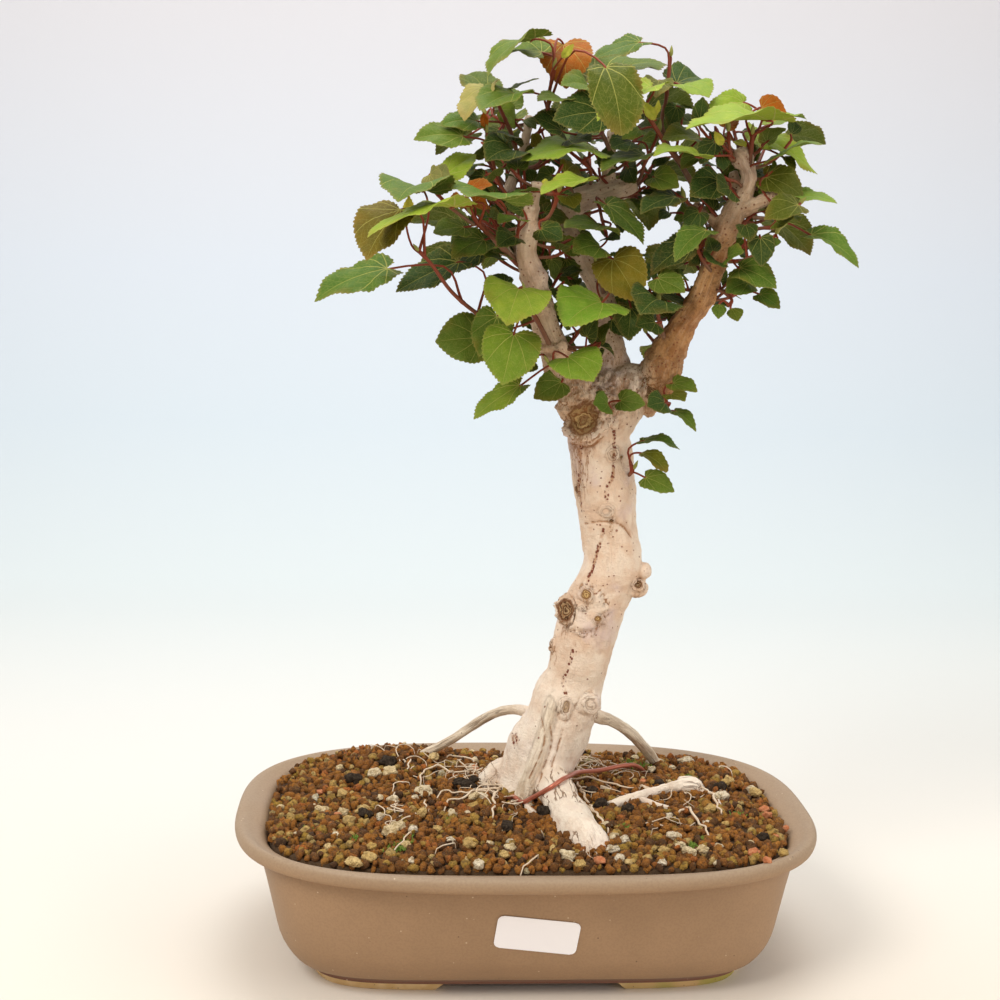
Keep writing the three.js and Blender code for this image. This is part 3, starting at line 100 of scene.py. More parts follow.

# Shoots in sight: name, thickness at foot and tip, points of the twig, and its leaves. A leaf is the share
# of the twig where its petiole starts, base and tip of its blade, the bearing and height it faces, its
# width in shares of its length, and its tone.
# Blades in the tone light carry painted light, those in dark painted shade.
SHOOTS = [
    ("far_left", (1.7, 1.1),
     [(7, 4, 311), (-8, -4, 318), (-26, -12, 327), (-43, -21, 340), (-54, -28, 354), (-60, -30, 360)], [
     (0.62, (-75, -25, 351), (-110, -33, 336), (-10, 58), 0.62, "green"),
     (0.5, (-40, -7, 355), (-71, -11, 340), (10, 55), 0.62, "dark"),
     (1, (-58, -37, 388), (-70, -69, 383), (0, 85), 0.95, "green"),
     (0.97, (-69, -38, 379), (-85, -55, 356), (-35, 15), 0.95, "copper"),
     (1, (-66, -28, 373), (-65, -32, 386), (20, 0), 0.42, "bud"),
     ]),
    ("left_mid", (2.2, 1.3),
     [(-9, -1, 354), (-21, -11, 365), (-31, -18, 374), (-34, -20, 378)], [
     (0.9, (-44, -45, 381), (-84, -67, 366), (180, 86), 0.66, "light"),
     (0.5, (-22, -35, 385), (-38, -68, 386), (0, 70), 1, "green"),
     (0.9, (-38, -17, 372), (-53, -24, 369), (0, 50), 0.9, "green"),
     (0.7, (-35, -6, 370), (-44, 1, 363), (0, 20), 0.9, "dark"),
     (0.45, (-28, -15, 366), (-44, -22, 357), (-10, 40), 0.9, "green"),
     (0.35, (-29, -4, 361), (-43, 13, 354), (0, 30), 0.9, "dark"),
     (1, (-37, -20, 387), (-25, -29, 392), (0, 45), 0.8, "orange"),
     (1, (-37, -24, 384), (-45, -33, 383), (0, 35), 0.9, "orange"),
     (1, (-33, -20, 384), (-25, -12, 382), (0, 35), 0.9, "orange"),
     ]),
    ("left_curl", (1.2, 0.9),
     [(-33, -18, 373), (-46, -23, 382), (-52, -27, 388)], [
     (1, (-55, -29, 396), (-48, -37, 388), (-40, 10), 0.85, "khaki"),
     (1, (-51, -23, 394), (-47, -17, 402), (20, 10), 0.8, "khaki"),
     (0.8, (-47, -11, 397), (-32, -4, 408), (0, 45), 0.7, "light"),
     ]),
    ("upper_left", (1.6, 1.0),
     [(-9, 17, 406), (-14, 10, 419), (-18, 6, 427), (-22, 3, 434)], [
     (0.35, (-32, -2, 424), (-50, -11, 421), (0, 45), 0.75, "green"),
     (1, (-28, -2, 440), (-39, -18, 423), (-40, 20), 0.72, "khaki"),
     (0.7, (-17, 5, 439), (-2, -6, 445), (0, 70), 0.7, "green"),
     (0.6, (-19, 13, 431), (-10, 23, 424), (0, 30), 0.9, "light"),
     (1, (-24, -1, 433), (-23, -5, 441), (0, 0), 0.35, "bud"),
     (0.3, (-13, 3, 415), (-22, -11, 418), (0, 60), 0.7, "dark"),
     ]),
    ("left_back", (1.4, 0.9),
     [(-15, 17, 387), (-20, 7, 396), (-24, -1, 406), (-27, -6, 418)], [
     (0.72, (-39, -8, 416), (-63, -14, 414), (0, 45), 0.75, "green"),
     (0.3, (-34, 4, 403), (-46, -11, 396), (0, 80), 0.8, "green"),
     (0.45, (-13, -3, 410), (-28, -22, 404), (-10, 35), 0.9, "dark"),
     (1, (-28, -6, 420), (-29, -6, 428), (0, 0), 0.5, "orange"),
     (0.25, (-26, 18, 397), (-30, 36, 402), (0, 40), 0.9, "dark"),
     ]),
    ("top_left", (1.9, 1.0),
     [(20, 25, 388), (12, 19, 407), (5, 12, 427), (4, 6, 437), (5, 2, 445), (6, 0, 450)], [
     (1, (-5, -2, 464), (-28, -18, 445), (-66, 48), 0.8, "green"),
     (1, (0, 8, 459), (-20, 23, 457), (0, 60), 0.9, "green"),
     (1, (12, 21, 465), (13, 9, 442), (0, 5), 1.05, "orange"),
     (0.62, (-14, -9, 437), (-32, -30, 427), (0, 74), 0.8, "green"),
     (0.72, (28, -26, 449), (35, -42, 416), (10, 12), 0.68, "olive"),
     (1, (9, -6, 455), (14, -11, 461), (20, 20), 0.42, "bud"),
     (0.55, (14, 0, 434), (-3, -15, 434), (0, 70), 0.85, "green"),
     ]),
    ("top_mid", (1.5, 0.9),
     [(37, 18, 413), (30, 12, 425), (25, 7, 434), (20, 5, 441)], [
     (0.75, (25, 14, 435), (16, 23, 436), (0, 5), 1.1, "orange"),
     (0.5, (28, -10, 429), (4, -20, 424), (0, 25), 0.85, "dark"),
     (1, (30, 14, 448), (67, 30, 459), (0, 70), 0.8, "green"),
     (1, (24, -1, 441), (8, -15, 441), (0, 45), 0.8, "green"),
     (0.2, (27, 24, 419), (15, 43, 423), (0, 45), 0.9, "green"),
     (0.3, (10, -6, 420), (-5, -13, 426), (-10, 40), 0.9, "dark"),
     ]),
    ("top_right", (2.0, 1.3),
     [(77, 3, 397), (69, 0, 408), (63, -4, 414), (53, -8, 427), (49, -11, 432)], [
     (1, (52, -17, 441), (24, -30, 424), (0, 80), 0.75, "light"),
     (1, (55, -13, 426), (48, -19, 434), (-20, 10), 0.42, "bud"),
     (1, (54, -12, 427), (56, -16, 435), (20, 0), 0.42, "bud"),
     (0.35, (68, 4, 434), (64, 2, 424), (0, 10), 0.9, "dark"),
     (0.3, (77, 11, 427), (59, 26, 429), (0, 80), 0.8, "green"),
     ]),
    ("top_cut", (1.4, 1.1),
     [(64, -2, 414), (61, 4, 426), (63, 6, 437), (64, 7, 448), (65, 8, 459)], [
     (0.82, (48, -1, 464), (24, -10, 455), (-20, 58), 0.62, "green"),
     (0.72, (70, 5, 445), (81, -14, 438), (10, 50), 0.95, "light"),
     (0.72, (70, 16, 447), (86, 31, 451), (0, 45), 0.95, "dark"),
     (0.4, (70, 14, 435), (84, 21, 432), (0, 80), 0.6, "green"),
     (0.6, (58, 0, 446), (55, -13, 437), (0, 50), 0.9, "olive"),
     ]),
    ("right_top", (1.6, 1.1),
     [(103, -10, 402), (103, -14, 413), (103, -16, 420)], [
     (1, (109, -27, 426), (65, -42, 421), (0, 82), 0.8, "light"),
     (1, (107, -15, 433), (119, -17, 431), (10, 5), 1.05, "orange"),
     (0.8, (100, -6, 436), (80, -9, 431), (0, 40), 0.7, "light"),
     (0.7, (114, -7, 426), (134, 2, 430), (0, 80), 0.6, "light"),
     (0.6, (107, -1, 422), (140, -3, 403), (20, 60), 0.62, "light"),
     (0.1, (112, -19, 408), (135, -28, 416), (0, 80), 0.7, "green"),
     (0.2, (122, -4, 410), (126, -10, 403), (20, 60), 0.7, "olive"),
     ]),
    ("right_top_left", (1.4, 1.0),
     [(97, -10, 408), (93, -14, 408), (91, -18, 415), (90, -20, 421)], [
     (0.5, (87, -23, 414), (82, -27, 420), (-20, 10), 0.49, "bud"),
     (0.2, (85, -14, 416), (77, -18, 405), (-20, 20), 0.8, "dark"),
     (0.15, (75, -27, 408), (51, -37, 408), (0, 75), 0.85, "light"),
     (1, (93, -22, 416), (97, -30, 413), (0, 45), 0.56, "bud"),
     (0.8, (91, -8, 424), (96, 0, 431), (0, 20), 0.8, "orange"),
     (0.4, (79, -3, 418), (59, -12, 417), (0, 55), 0.85, "olive"),
     ]),
    ("right_left", (1.3, 0.9),
     [(81, -1, 383), (75, -5, 386), (72, -7, 389)], [
     (1, (67, -10, 389), (48, -21, 381), (-20, 56), 0.75, "dark"),
     (0.8, (57, -3, 399), (68, -13, 394), (-10, 30), 0.9, "green"),
     (0.1, (79, -11, 382), (72, -16, 372), (-10, 20), 0.9, "dark"),
     ]),
    ("right_inner", (1.1, 0.8),
     [(101, -8, 394), (97, -13, 397), (92, -16, 398), (88, -18, 399)], [
     (1, (87, -18, 397), (71, -27, 389), (-10, 25), 0.9, "dark"),
     (1, (91, -24, 393), (83, -35, 392), (0, 20), 1.2, "dark"),
     ]),
    ("right_low_left", (1.3, 0.9),
     [(87, -7, 353), (81, -13, 359), (78, -16, 364)], [
     (1, (81, -20, 373), (64, -31, 358), (-35, 30), 0.6, "green"),
     (1, (80, -1, 368), (56, -5, 351), (-35, 25), 0.6, "dark"),
     (0.6, (86, -13, 363), (82, -21, 370), (-20, 30), 0.8, "dark"),
     (0.4, (87, -20, 358), (81, -30, 358), (0, 40), 1.2, "dark"),
     ]),
    ("right_side", (1.3, 0.9),
     [(95, -9, 358), (102, -13, 359), (108, -17, 363), (113, -19, 368), (116, -20, 372)], [
     (0.15, (99, -18, 355), (116, -27, 346), (5, 40), 0.85, "green"),
     (0.6, (107, -25, 370), (107, -31, 356), (0, 10), 0.85, "dark"),
     (0.35, (100, -22, 376), (101, -30, 368), (0, 25), 0.9, "dark"),
     (0.2, (92, -22, 360), (97, -34, 363), (0, 25), 0.9, "green"),
     (1, (116, -23, 370), (114, -27, 366), (0, 20), 0.7, "green"),
     ]),
    ("right_cluster", (1.3, 0.9),
     [(106, -11, 380), (114, -15, 380), (120, -19, 383), (125, -22, 386)], [
     (1, (122, -5, 389), (146, -19, 388), (5, 72), 0.75, "light"),
     (0.6, (112, -10, 400), (131, -13, 390), (5, 30), 0.8, "olive"),
     (1, (124, -29, 386), (106, -37, 379), (10, 48), 0.72, "olive"),
     (0.4, (117, 1, 391), (136, 20, 397), (20, 45), 0.9, "green"),
     ]),
    ("far_right", (1.3, 1.0),
     [(106, -11, 374), (111, -15, 375), (116, -17, 375)], [
     (1, (134, -18, 372), (157, -26, 357), (25, 48), 0.55, "green"),
     (1, (115, -23, 378), (121, -34, 380), (0, 25), 1, "olive"),
     (0.8, (119, -13, 375), (116, -3, 372), (0, 30), 0.9, "bronze"),
     ]),
    ("right_knob", (1.1, 0.8),
     [(86, -2, 344), (93, -6, 343), (97, -12, 339), (95, -14, 336)], [
     (0.6, (105, -11, 348), (93, -16, 343), (0, 35), 1.1, "green"),
     (1, (90, -16, 337), (89, -20, 330), (-10, 10), 0.9, "green"),
     (1, (96, -16, 335), (99, -20, 329), (10, 10), 1.1, "olive"),
     ]),
    ("mid_fork", (1.6, 1.1),
     [(66, 2, 319), (62, -2, 329), (61, -6, 337)], [
     (1, (61, -10, 338), (48, -33, 332), (-5, 35), 0.95, "dark"),
     (1, (63, 0, 341), (77, 15, 339), (0, 50), 0.9, "dark"),
     (0.9, (60, -8, 349), (72, -19, 343), (0, 28), 0.85, "green"),
     (0.4, (59, -10, 327), (48, -21, 326), (0, 30), 0.9, "dark"),
     (0.3, (69, 14, 329), (79, 23, 332), (0, 40), 0.9, "olive"),
     ]),
    ("heart_stem", (1.7, 1.1),
     [(36, 18, 341), (32, 8, 349), (30, 2, 355)], [
     (1, (38, 0, 358), (50, -11, 337), (0, 15), 0.95, "bronze"),
     (0.4, (31, -18, 337), (10, -40, 326), (8, 60), 1.05, "fresh"),
     (0.8, (43, 11, 359), (61, 22, 359), (0, 75), 0.7, "green"),
     (0.5, (48, 1, 334), (46, -7, 318), (0, 20), 0.9, "dark"),
     (0.6, (40, 8, 328), (53, 19, 319), (0, 30), 0.9, "dark"),
     ]),
    ("front_left", (1.9, 1.3),
     [(10, -3, 309), (4, -12, 319), (-2, -19, 329), (-7, -24, 337), (-8, -26, 342)], [
     (1, (-11, -29, 343), (-18, -50, 326), (0, 30), 1.12, "light"),
     (0.75, (-13, -29, 321), (-19, -42, 297), (0, 18), 0.98, "fresh"),
     (0.6, (-29, -12, 318), (-51, -17, 316), (0, 15), 1.1, "green"),
     (0.75, (-21, -23, 329), (-30, -30, 310), (0, 20), 0.85, "green"),
     (0.9, (-17, -9, 344), (-23, 1, 349), (0, 40), 0.9, "dark"),
     ]),
    ("low_left", (1.5, 1.0),
     [(14, -1, 301), (9, -8, 304), (6, -10, 306)], [
     (0.7, (14, -27, 310), (25, -44, 300), (0, 46), 1.15, "fresh"),
     (0.5, (-9, -19, 295), (-32, -24, 279), (-30, 48), 0.56, "fresh"),
     (0.5, (13, -5, 296), (-1, -10, 288), (0, 25), 0.9, "green"),
     (1, (-2, -4, 307), (-5, -8, 301), (0, 15), 1.2, "olive"),
     ]),
    ("trunk_front", (1.2, 0.8),
     [(37, 3, 279), (38, -8, 283), (37, -11, 285)], [
     (0.8, (42, -15, 288), (54, -21, 287), (0, 25), 0.85, "green"),
     (1, (36, -14, 286), (28, -22, 287), (0, 25), 1.1, "green"),
     (1, (34, -10, 289), (30, -12, 292), (0, 30), 0.9, "dark"),
     ]),
    ("trunk_right", (1.2, 0.8),
     [(63, 6, 285), (67, 0, 282), (68, -4, 286)], [
     (1, (71, 0, 296), (82, -9, 293), (10, 40), 0.8, "green"),
     (1, (69, -8, 291), (74, -19, 289), (10, 30), 0.9, "olive"),
     (0.7, (65, -12, 287), (55, -21, 286), (0, 30), 1, "dark"),
     (0.6, (72, -4, 282), (82, -11, 273), (10, 60), 0.55, "green"),
     ]),
    ("trunk_low", (1.2, 0.9),
     [(51, 9, 247), (52, 6, 249), (53, 5, 251)], [
     (1, (57, 2, 266), (75, -5, 263), (10, 75), 0.6, "green"),
     (0.8, (56, -1, 260), (68, -10, 252), (20, 50), 0.6, "olive"),
     (0.6, (59, 2, 247), (73, -5, 241), (5, 25), 0.7, "green"),
     ]),
    ("inner_left", (1.1, 0.8),
     [(-8, -6, 364), (-11, -11, 367), (-11, -15, 373)], [
     (1, (-11, -20, 376), (-22, -32, 374), (0, 70), 0.8, "green"),
     (0.5, (-13, -17, 368), (-22, -29, 363), (-10, 20), 0.9, "dark"),
     (1, (-9, -11, 381), (-18, -15, 384), (-10, 30), 0.9, "dark"),
     ]),
    ("inner_right", (1.3, 0.9),
     [(-1, -6, 374), (4, -12, 378), (7, -16, 385), (8, -20, 390)], [
     (1, (19, -28, 395), (-3, -43, 388), (0, 80), 0.7, "light"),
     (1, (5, -20, 394), (10, -25, 398), (0, 30), 0.56, "bud"),
     (1, (4, -20, 393), (-1, -26, 394), (0, 30), 0.56, "bud"),
     (0.3, (0, -16, 372), (10, -25, 367), (5, 20), 0.9, "dark"),
     (0.7, (12, -21, 388), (15, -29, 382), (10, 20), 1.1, "bronze"),
     (0.9, (12, -7, 400), (22, 3, 399), (0, 30), 1, "bronze"),
     ]),
    ("inner_top", (1.2, 0.8),
     [(28, 22, 396), (27, 14, 402), (22, 9, 407)], [
     (1, (26, -3, 412), (-11, -16, 406), (0, 70), 0.7, "light"),
     (1, (14, -1, 416), (24, -14, 415), (0, 45), 0.9, "dark"),
     (0.8, (3, -1, 412), (6, -13, 406), (0, 25), 0.9, "bronze"),
     (0.6, (0, 8, 413), (-4, 4, 419), (0, 25), 0.9, "bronze"),
     ]),
    ("C_right", (1.3, 0.9),
     [(52, 22, 397), (53, 16, 400), (54, 11, 406), (58, 4, 417), (59, 1, 421)], [
     (0.5, (52, -3, 409), (28, -20, 401), (0, 80), 0.7, "green"),
     (0.6, (45, -2, 416), (34, -13, 412), (0, 45), 0.9, "dark"),
     (0.3, (57, 15, 402), (60, 30, 398), (10, 30), 0.9, "dark"),
     (1, (49, -1, 422), (40, -6, 417), (0, 50), 0.9, "green"),
     ]),
    ("C_low", (1.1, 0.8),
     [(33, 25, 388), (33, 17, 382), (34, 10, 375), (35, 4, 370)], [
     (0.3, (34, 2, 385), (52, -11, 366), (35, 35), 0.6, "green"),
     (0.6, (33, -2, 373), (11, -19, 373), (0, 70), 0.8, "green"),
     (1, (31, -2, 364), (16, -15, 361), (0, 40), 0.9, "green"),
     (1, (36, 9, 369), (41, 0, 368), (10, 20), 1.1, "dark"),
     ]),
]

# Twigs on the hidden side: where each leaves the wood, its heading, its length and its number of leaves
REAR_TWIGS = [
    ((-7, 22, 414), (-0.6, 0.7, 0.35), 30, 5), ((-9, 1, 357), (-0.75, 0.65, 0.15), 34, 5),
    ((15, 32, 370), (-0.35, 0.92, 0.1), 34, 5), ((30, 32, 391), (0.05, 0.9, 0.42), 32, 5),
    ((39, 27, 416), (0.25, 0.8, 0.55), 30, 5), ((49, 27, 393), (0.45, 0.85, 0.2), 34, 5),
    ((86, 5, 350), (0.1, 0.95, 0.25), 32, 5), ((104, -4, 398), (0.45, 0.8, 0.4), 30, 5),
    ((97, -3, 380), (0.7, 0.7, 0.1), 35, 5), ((38, 30, 328), (-0.25, 0.95, 0.15), 30, 5),
    ((-5, 22, 388), (-0.2, 0.95, 0.1), 30, 5), ((69, 12, 312), (-0.3, 0.95, 0.1), 24, 4),
]
REAR = {"petiole": (9, 17), "blade": (20, 33), "width": 0.9, "first": 0.25, "lean": 0.6,
        "droop": (0.35, 0.75), "face": 50, "thick": (1.5, 0.9), "clearance": 5.2, "seed": 54}

# Limbs of the tree: kind of wood, how knobbly, points, and the radius at each
LIMBS = [
    ("trunk", 0.035, [(4, 20, 46), (5, 19, 60), (7, 18, 72), (10, 19, 91), (16, 20, 106), (22, 21, 122),
      (28, 21, 136), (31, 20, 151), (36, 20, 174), (42, 20, 188), (45, 19, 203), (43, 19, 218),
      (41, 18, 232), (37, 18, 254), (36, 17, 270), (42, 17, 286), (48, 16, 299)],
     [15, 21, 19.5, 19.2, 19, 17.8, 15.6, 16.6, 16.2, 15.4, 14.9, 15.1, 16, 16, 16.4, 18, 12]),
    ("left", 0.05, [(28, 12, 276), (19, 5, 291), (11, 0, 309), (4, -2, 327), (-1, -3, 344), (-6, -4, 359),
      (-6, -5, 370), (-5, -6, 379), (-3, -7, 388), (-2, -8, 395)],
     [9, 8.6, 7.8, 6.8, 6.2, 5.2, 5.4, 4.2, 3.3, 2.8]),
    ("left", 0.05, [(-3, 1, 347), (-11, 13, 364), (-16, 17, 380), (-14, 18, 392), (-9, 19, 404),
      (-6, 20, 417), (-4, 22, 429)],
     [3.4, 3.3, 3.1, 2.8, 2.6, 2.5, 2.4]),
    ("middle", 0.05, [(43, 20, 288), (38, 24, 320), (36, 25, 341), (25, 26, 359), (17, 28, 375),
      (22, 28, 387), (36, 26, 391), (45, 24, 394), (52, 23, 397)],
     [11.5, 7.8, 5.7, 5.2, 5.2, 5.9, 6.2, 5.4, 4.4]),
    ("middle", 0.05, [(37, 26, 389), (38, 25, 406), (39, 24, 423)],
     [3.9, 3.3, 2.8]),
    ("right", 0.05, [(55, 17, 283), (66, 12, 301), (70, 8, 313), (77, 3, 328), (84, 0, 340), (88, -2, 353),
      (91, -4, 364), (94, -5, 374), (98, -6, 384), (102, -7, 392), (104, -8, 400), (101, -9, 408),
      (98, -9, 413)],
     [12.6, 11.4, 9.2, 6.9, 6.3, 5.8, 5, 5.8, 5.4, 4.5, 4, 4, 3.3]),
    ("right", 0.05, [(98, -6, 382), (109, -11, 387), (117, -13, 391)],
     [3.8, 3.5, 3.1]),
    ("right", 0.05, [(93, -4, 374), (86, 1, 381), (79, 4, 386)],
     [3.4, 3, 2.6]),
    ("right", 0.05, [(102, -5, 388), (99, 0, 394), (98, 2, 403)],
     [3, 2.8, 2.5]),
    ("left", 0.05, [(10, 0, 312), (13, -10, 315)],
     [2.9, 2.7]),
    ("root", 0.05, [(13, 12, 90), (15, -1, 84), (19, -23, 77), (24, -43, 72), (29, -59, 67), (32, -69, 59)],
     [8, 9, 10, 11.2, 11.4, 7]),
    ("root", 0.05, [(4, 24, 78), (-7, 28, 80), (-15, 28, 77), (-20, 25, 66)],
     [8, 8.5, 8, 6.5]),
    ("root", 0, [(-19, 31, 74), (-31, 59, 74.5), (-38, 68, 73), (-43, 74, 68)],
     [2.4, 1.7, 1.4, 1]),
    ("bowed", 0.05, [(12, 19, 117), (3, 24, 116), (-6, 31, 115), (-15, 39, 110), (-25, 48, 101),
      (-37, 56, 90), (-51, 64, 80), (-63, 68, 73), (-74, 71, 62)],
     [3.6, 2.8, 2.6, 2.6, 2.5, 2.4, 2.3, 2.3, 1.6]),
    ("bowed", 0.05, [(30, 14, 122), (39, 20, 115), (48, 28, 110), (59, 39, 101), (69, 50, 90), (77, 60, 79),
      (82, 66, 70), (86, 70, 60)],
     [5, 3.8, 3.3, 3.1, 3, 3.2, 3, 2]),
    ("rootlet", 0.05, [(45, -11, 74.5), (57, -2, 75.5), (68, 4, 76.5), (79, 12, 77), (89, 19, 76)],
     [3.6, 3.3, 3, 2.8, 4]),
    ("root", 0.05, [(86, 19, 75), (93, 20, 74.5), (99, 20, 72)],
     [6, 6.2, 3]),
    ("root", 0, [(90, 20, 71), (70, 22, 62), (40, 20, 57), (12, 19, 58)],
     [4, 4.5, 5.5, 6]),
    ("rootlet", 0, [(60, 0, 75.5), (69, -8, 74.5), (78, -12, 73.5)],
     [2.2, 1.7, 1.2]),
    ("rootlet", 0, [(96, 20, 73.5), (103, 8, 73.5), (103, -8, 73), (101, -18, 70)],
     [2, 1.5, 1.3, 1]),
    ("rootlet", 0, [(9, 4, 80), (1, -9, 76), (4, -24, 74), (9, -40, 72), (12, -47, 68)],
     [2.6, 1.9, 1.9, 1.7, 1.2]),
    ("ridge", 0.05, [(16, 9, 130), (14, 6, 124), (12, 4, 116), (9, 2, 106), (6, 1, 97), (3, 0, 88),
      (0, -2, 78), (-2, -3, 70)],
     [3, 4, 4.2, 4.2, 4.4, 4.8, 5, 4.5]),
]

# Burls, pruning scars and the swellings under them: centre and half sizes
BURLS = [
    ((28, 9, 271), (11, 9, 9)), ((54, 17, 189), (7.5, 6, 6)), ((58.5, 14, 186.5), (6, 5.5, 4.6)),
    ((62, 14, 195.5), (3.8, 4.5, 4.4)), ((21, 15, 175), (6, 8, 7)), ((33, 7, 182), (7, 4, 6)),
    ((18, 9, 125), (8, 7, 8)), ((35, 12, 126), (6, 7, 7)), ((64, 5, 303), (8, 6, 8)),
    ((50, 13, 291), (13, 12, 14)), ((100, -9, 409), (5.5, 5, 5.5)), ((18, 28, 384), (6, 6, 7)),
    ((-6, -5, 371), (6, 6, 4.5)), ((-2, -3, 348), (7.5, 7, 6)), ((-5, -7, 382), (5.2, 4.8, 2.4)),
    ((-1, -8, 393), (4.2, 4, 2)), ((0, -5, 333), (7.8, 7.2, 3)), ((9, -3, 313), (9, 8.4, 3.4)),
    ((92, -5, 369), (6.8, 6.4, 2.8)), ((66, 10, 304), (9.6, 9.2, 3.4)),
]

# Copper-brown anchor wire over the foot of the trunk
WIRE = [(-11, 12, 62), (-9, 6, 71), (-6, -2, 77), (-2, -11, 77), (3, -14, 80.5), (8, -18, 85), (13, -20, 89),
        (18, -16, 91), (23, -6, 89.5), (29, 8, 87), (44, 27, 82), (58, 38, 81), (65, 43, 79.5), (71, 48, 74),
        (74, 51, 62)]
WIRE_RADIUS = 1.2


# Curves and small helpers

def in_frame(points):
    """Millimetres round the pot's middle to metres in the solids' frame."""
    return POT_MIDDLE + MM * np.asarray(points, float)


def unit(v):
    return v / np.linalg.norm(v)


def draws_from(seed):
    """Random shares from 0 to 1, which always come in the same order."""
    state = seed
    while True:
        state = (state * 16807) % 2147483647
        yield state / 2147483647


class Path:
    """Smooth curve through points, at an even pull (centripetal), with its places from 0 to 1."""

    def __init__(self, points):
        p = np.asarray(points, float)
        self.points = np.vstack([2 * p[0] - p[1], p, 2 * p[-1] - p[-2]])
        self.spans = len(p) - 1
        table = self.at(np.linspace(0, 1, 201))
        self.runs = np.concatenate([[0], np.cumsum(np.linalg.norm(np.diff(table, axis=0), axis=1))])
        self.length = self.runs[-1]

    def at(self, t):
        t = np.atleast_1d(np.asarray(t, float)) * self.spans
        k = np.minimum(t.astype(int), self.spans - 1)
        w = (t - k)[:, None]
        a, b, c, d = (self.points[k + i] for i in range(4))
        pull = [np.maximum(((q - p) ** 2).sum(1), 1e-12) ** 0.25 for p, q in ((a, b), (b, c), (c, d))]
        one = np.where(pull[1] < 1e-4, 1.0, pull[1])[:, None]
        zero = np.where(pull[0][:, None] < 1e-4, one, pull[0][:, None])
        two = np.where(pull[2][:, None] < 1e-4, one, pull[2][:, None])
        first = ((b - a) / zero - (c - a) / (zero + one) + (c - b) / one) * one
        last = ((c - b) / one - (d - b) / (one + two) + (d - c) / two) * one
        bend = (3 * (c - b) - 2 * first - last) * w ** 2
        return b + first * w + bend + (2 * (b - c) + first + last) * w ** 3

    def at_run(self, part):
        """Point at a share of the curve's own length."""
        place = np.interp(part * self.length, self.runs, np.linspace(0, 1, 201))
        return self.at(place)[0]

    def tangents(self, t):
        t = np.atleast_1d(np.asarray(t, float))
        step = self.at(np.minimum(t + 1e-4, 1)) - self.at(np.maximum(t - 1e-4, 0))
        return step / np.linalg.norm(step, axis=1)[:, None]


def across_of(tangents):
    """Directions across a curve that turn as little as they can."""
    across = np.array([0, 1, 0.01])
    found = []
    for along in tangents:
        across = unit(across - along * across.dot(along))
        found.append(across)
    return np.array(found)


def new_mesh(name, points, faces, materials=(), face_material=None):
    """Mesh in metres from points in millimetres. faces is a list of arrays, each of one number of corners."""
    mesh = bpy.data.meshes.new(name)
    mesh.vertices.add(len(points))
    mesh.vertices.foreach_set("co", in_frame(points).ravel())
    corners = np.concatenate([np.asarray(f).ravel() for f in faces]).astype(np.int32)
    counts = np.concatenate([np.full(len(f), np.asarray(f).shape[1]) for f in faces])
    mesh.loops.add(len(corners))
    mesh.loops.foreach_set("vertex_index", corners)
    mesh.polygons.add(len(counts))
    mesh.polygons.foreach_set("loop_start", np.concatenate([[0], np.cumsum(counts)[:-1]]).astype(np.int32))
    mesh.polygons.foreach_set("use_smooth", np.ones(len(counts), bool))
    for material in materials:
        mesh.materials.append(material)
    if face_material is not None:
        mesh.polygons.foreach_set("material_index", np.asarray(face_material, np.int32))
    mesh.update(calc_edges=True)
    return mesh


def add_values(mesh, **named):
    """Numbers or vectors for the points of a mesh, kept by name."""
    for name, values in named.items():
        values = np.asarray(values, np.float32)
        kind, field = ("FLOAT", "value") if values.ndim == 1 else ("FLOAT_VECTOR", "vector")
        mesh.attributes.new(name, kind, "POINT").data.foreach_set(field, values.ravel())


def object_of(mesh, name):
    piece = bpy.data.objects.new(name, mesh)
    bpy.context.scene.collection.objects.link(piece)
    return piece


def finish_piece(mesh, name, slot, *nodes):
    """Piece of the object, which stands for the nodes that it is given; slot is not used."""
    piece = object_of(mesh, name)
    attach(piece, "root")
    if nodes:
        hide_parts(*nodes)


def grid_faces(rows, columns, closed=True, first=0):
    """Quads between rings of points, one after another."""
    r = np.arange(rows - 1)[:, None]
    c = np.arange(columns if closed else columns - 1)[None, :]
    a = first + r * columns + c
    b = first + r * columns + (c + 1) % columns
    return np.stack([a, b, b + columns, a + columns], -1).reshape(-1, 4)


def fan_faces(ring, centre, turned=False):
    """Triangles from a ring of points to one point."""
    ring = np.asarray(ring)
    after = np.roll(ring, -1)
    sides = (after, ring) if turned else (ring, after)
    return np.stack([*sides, np.full(len(ring), centre)], -1)


def sheet_edge(rim, count):
    """Quads from the rim of a sheet's one side to that of the other, whose points come count places later."""
    after = np.roll(rim, -1)
    return np.stack([rim, after, after + count, rim + count], -1)


def rings_round(tangents, angle):
    """Directions across a line, and rings of the directions at each angle round it."""
    across = across_of(tangents)
    other = np.cross(tangents, across)
    return across, other, across[:, None] * np.cos(angle)[:, None] + other[:, None] * np.sin(angle)[:, None]


def closed_rings(rings, ends):
    """Points and faces of a form out of its rings, closed by a fan to a point at each end."""
    count, sides = rings.shape[:2]
    first = np.arange(sides)
    last = (count - 1) * sides + first
    caps = np.vstack([fan_faces(first, count * sides, True), fan_faces(last, count * sides + 1)])
    return np.vstack([rings.reshape(-1, 3), ends]), grid_faces(count, sides), caps


def tube(points, radius, sides):
    """Closed tube round a line of points, with rounded ends."""
    tangents = np.gradient(points, axis=0)
    tangents /= np.linalg.norm(tangents, axis=1)[:, None]
    rings = points[:, None] + radius * rings_round(tangents, 2 * np.pi * np.arange(sides) / sides)[2]
    ends = [points[0] - tangents[0] * radius * 0.4, points[-1] + tangents[-1] * radius * 0.4]
    return closed_rings(rings, ends)


def recalculate(mesh):
    """Turns every face of closed shells outwards."""
    form = bmesh.new()
    form.from_mesh(mesh)
    bmesh.ops.recalc_face_normals(form, faces=form.faces)
    form.to_mesh(mesh)
    form.free()


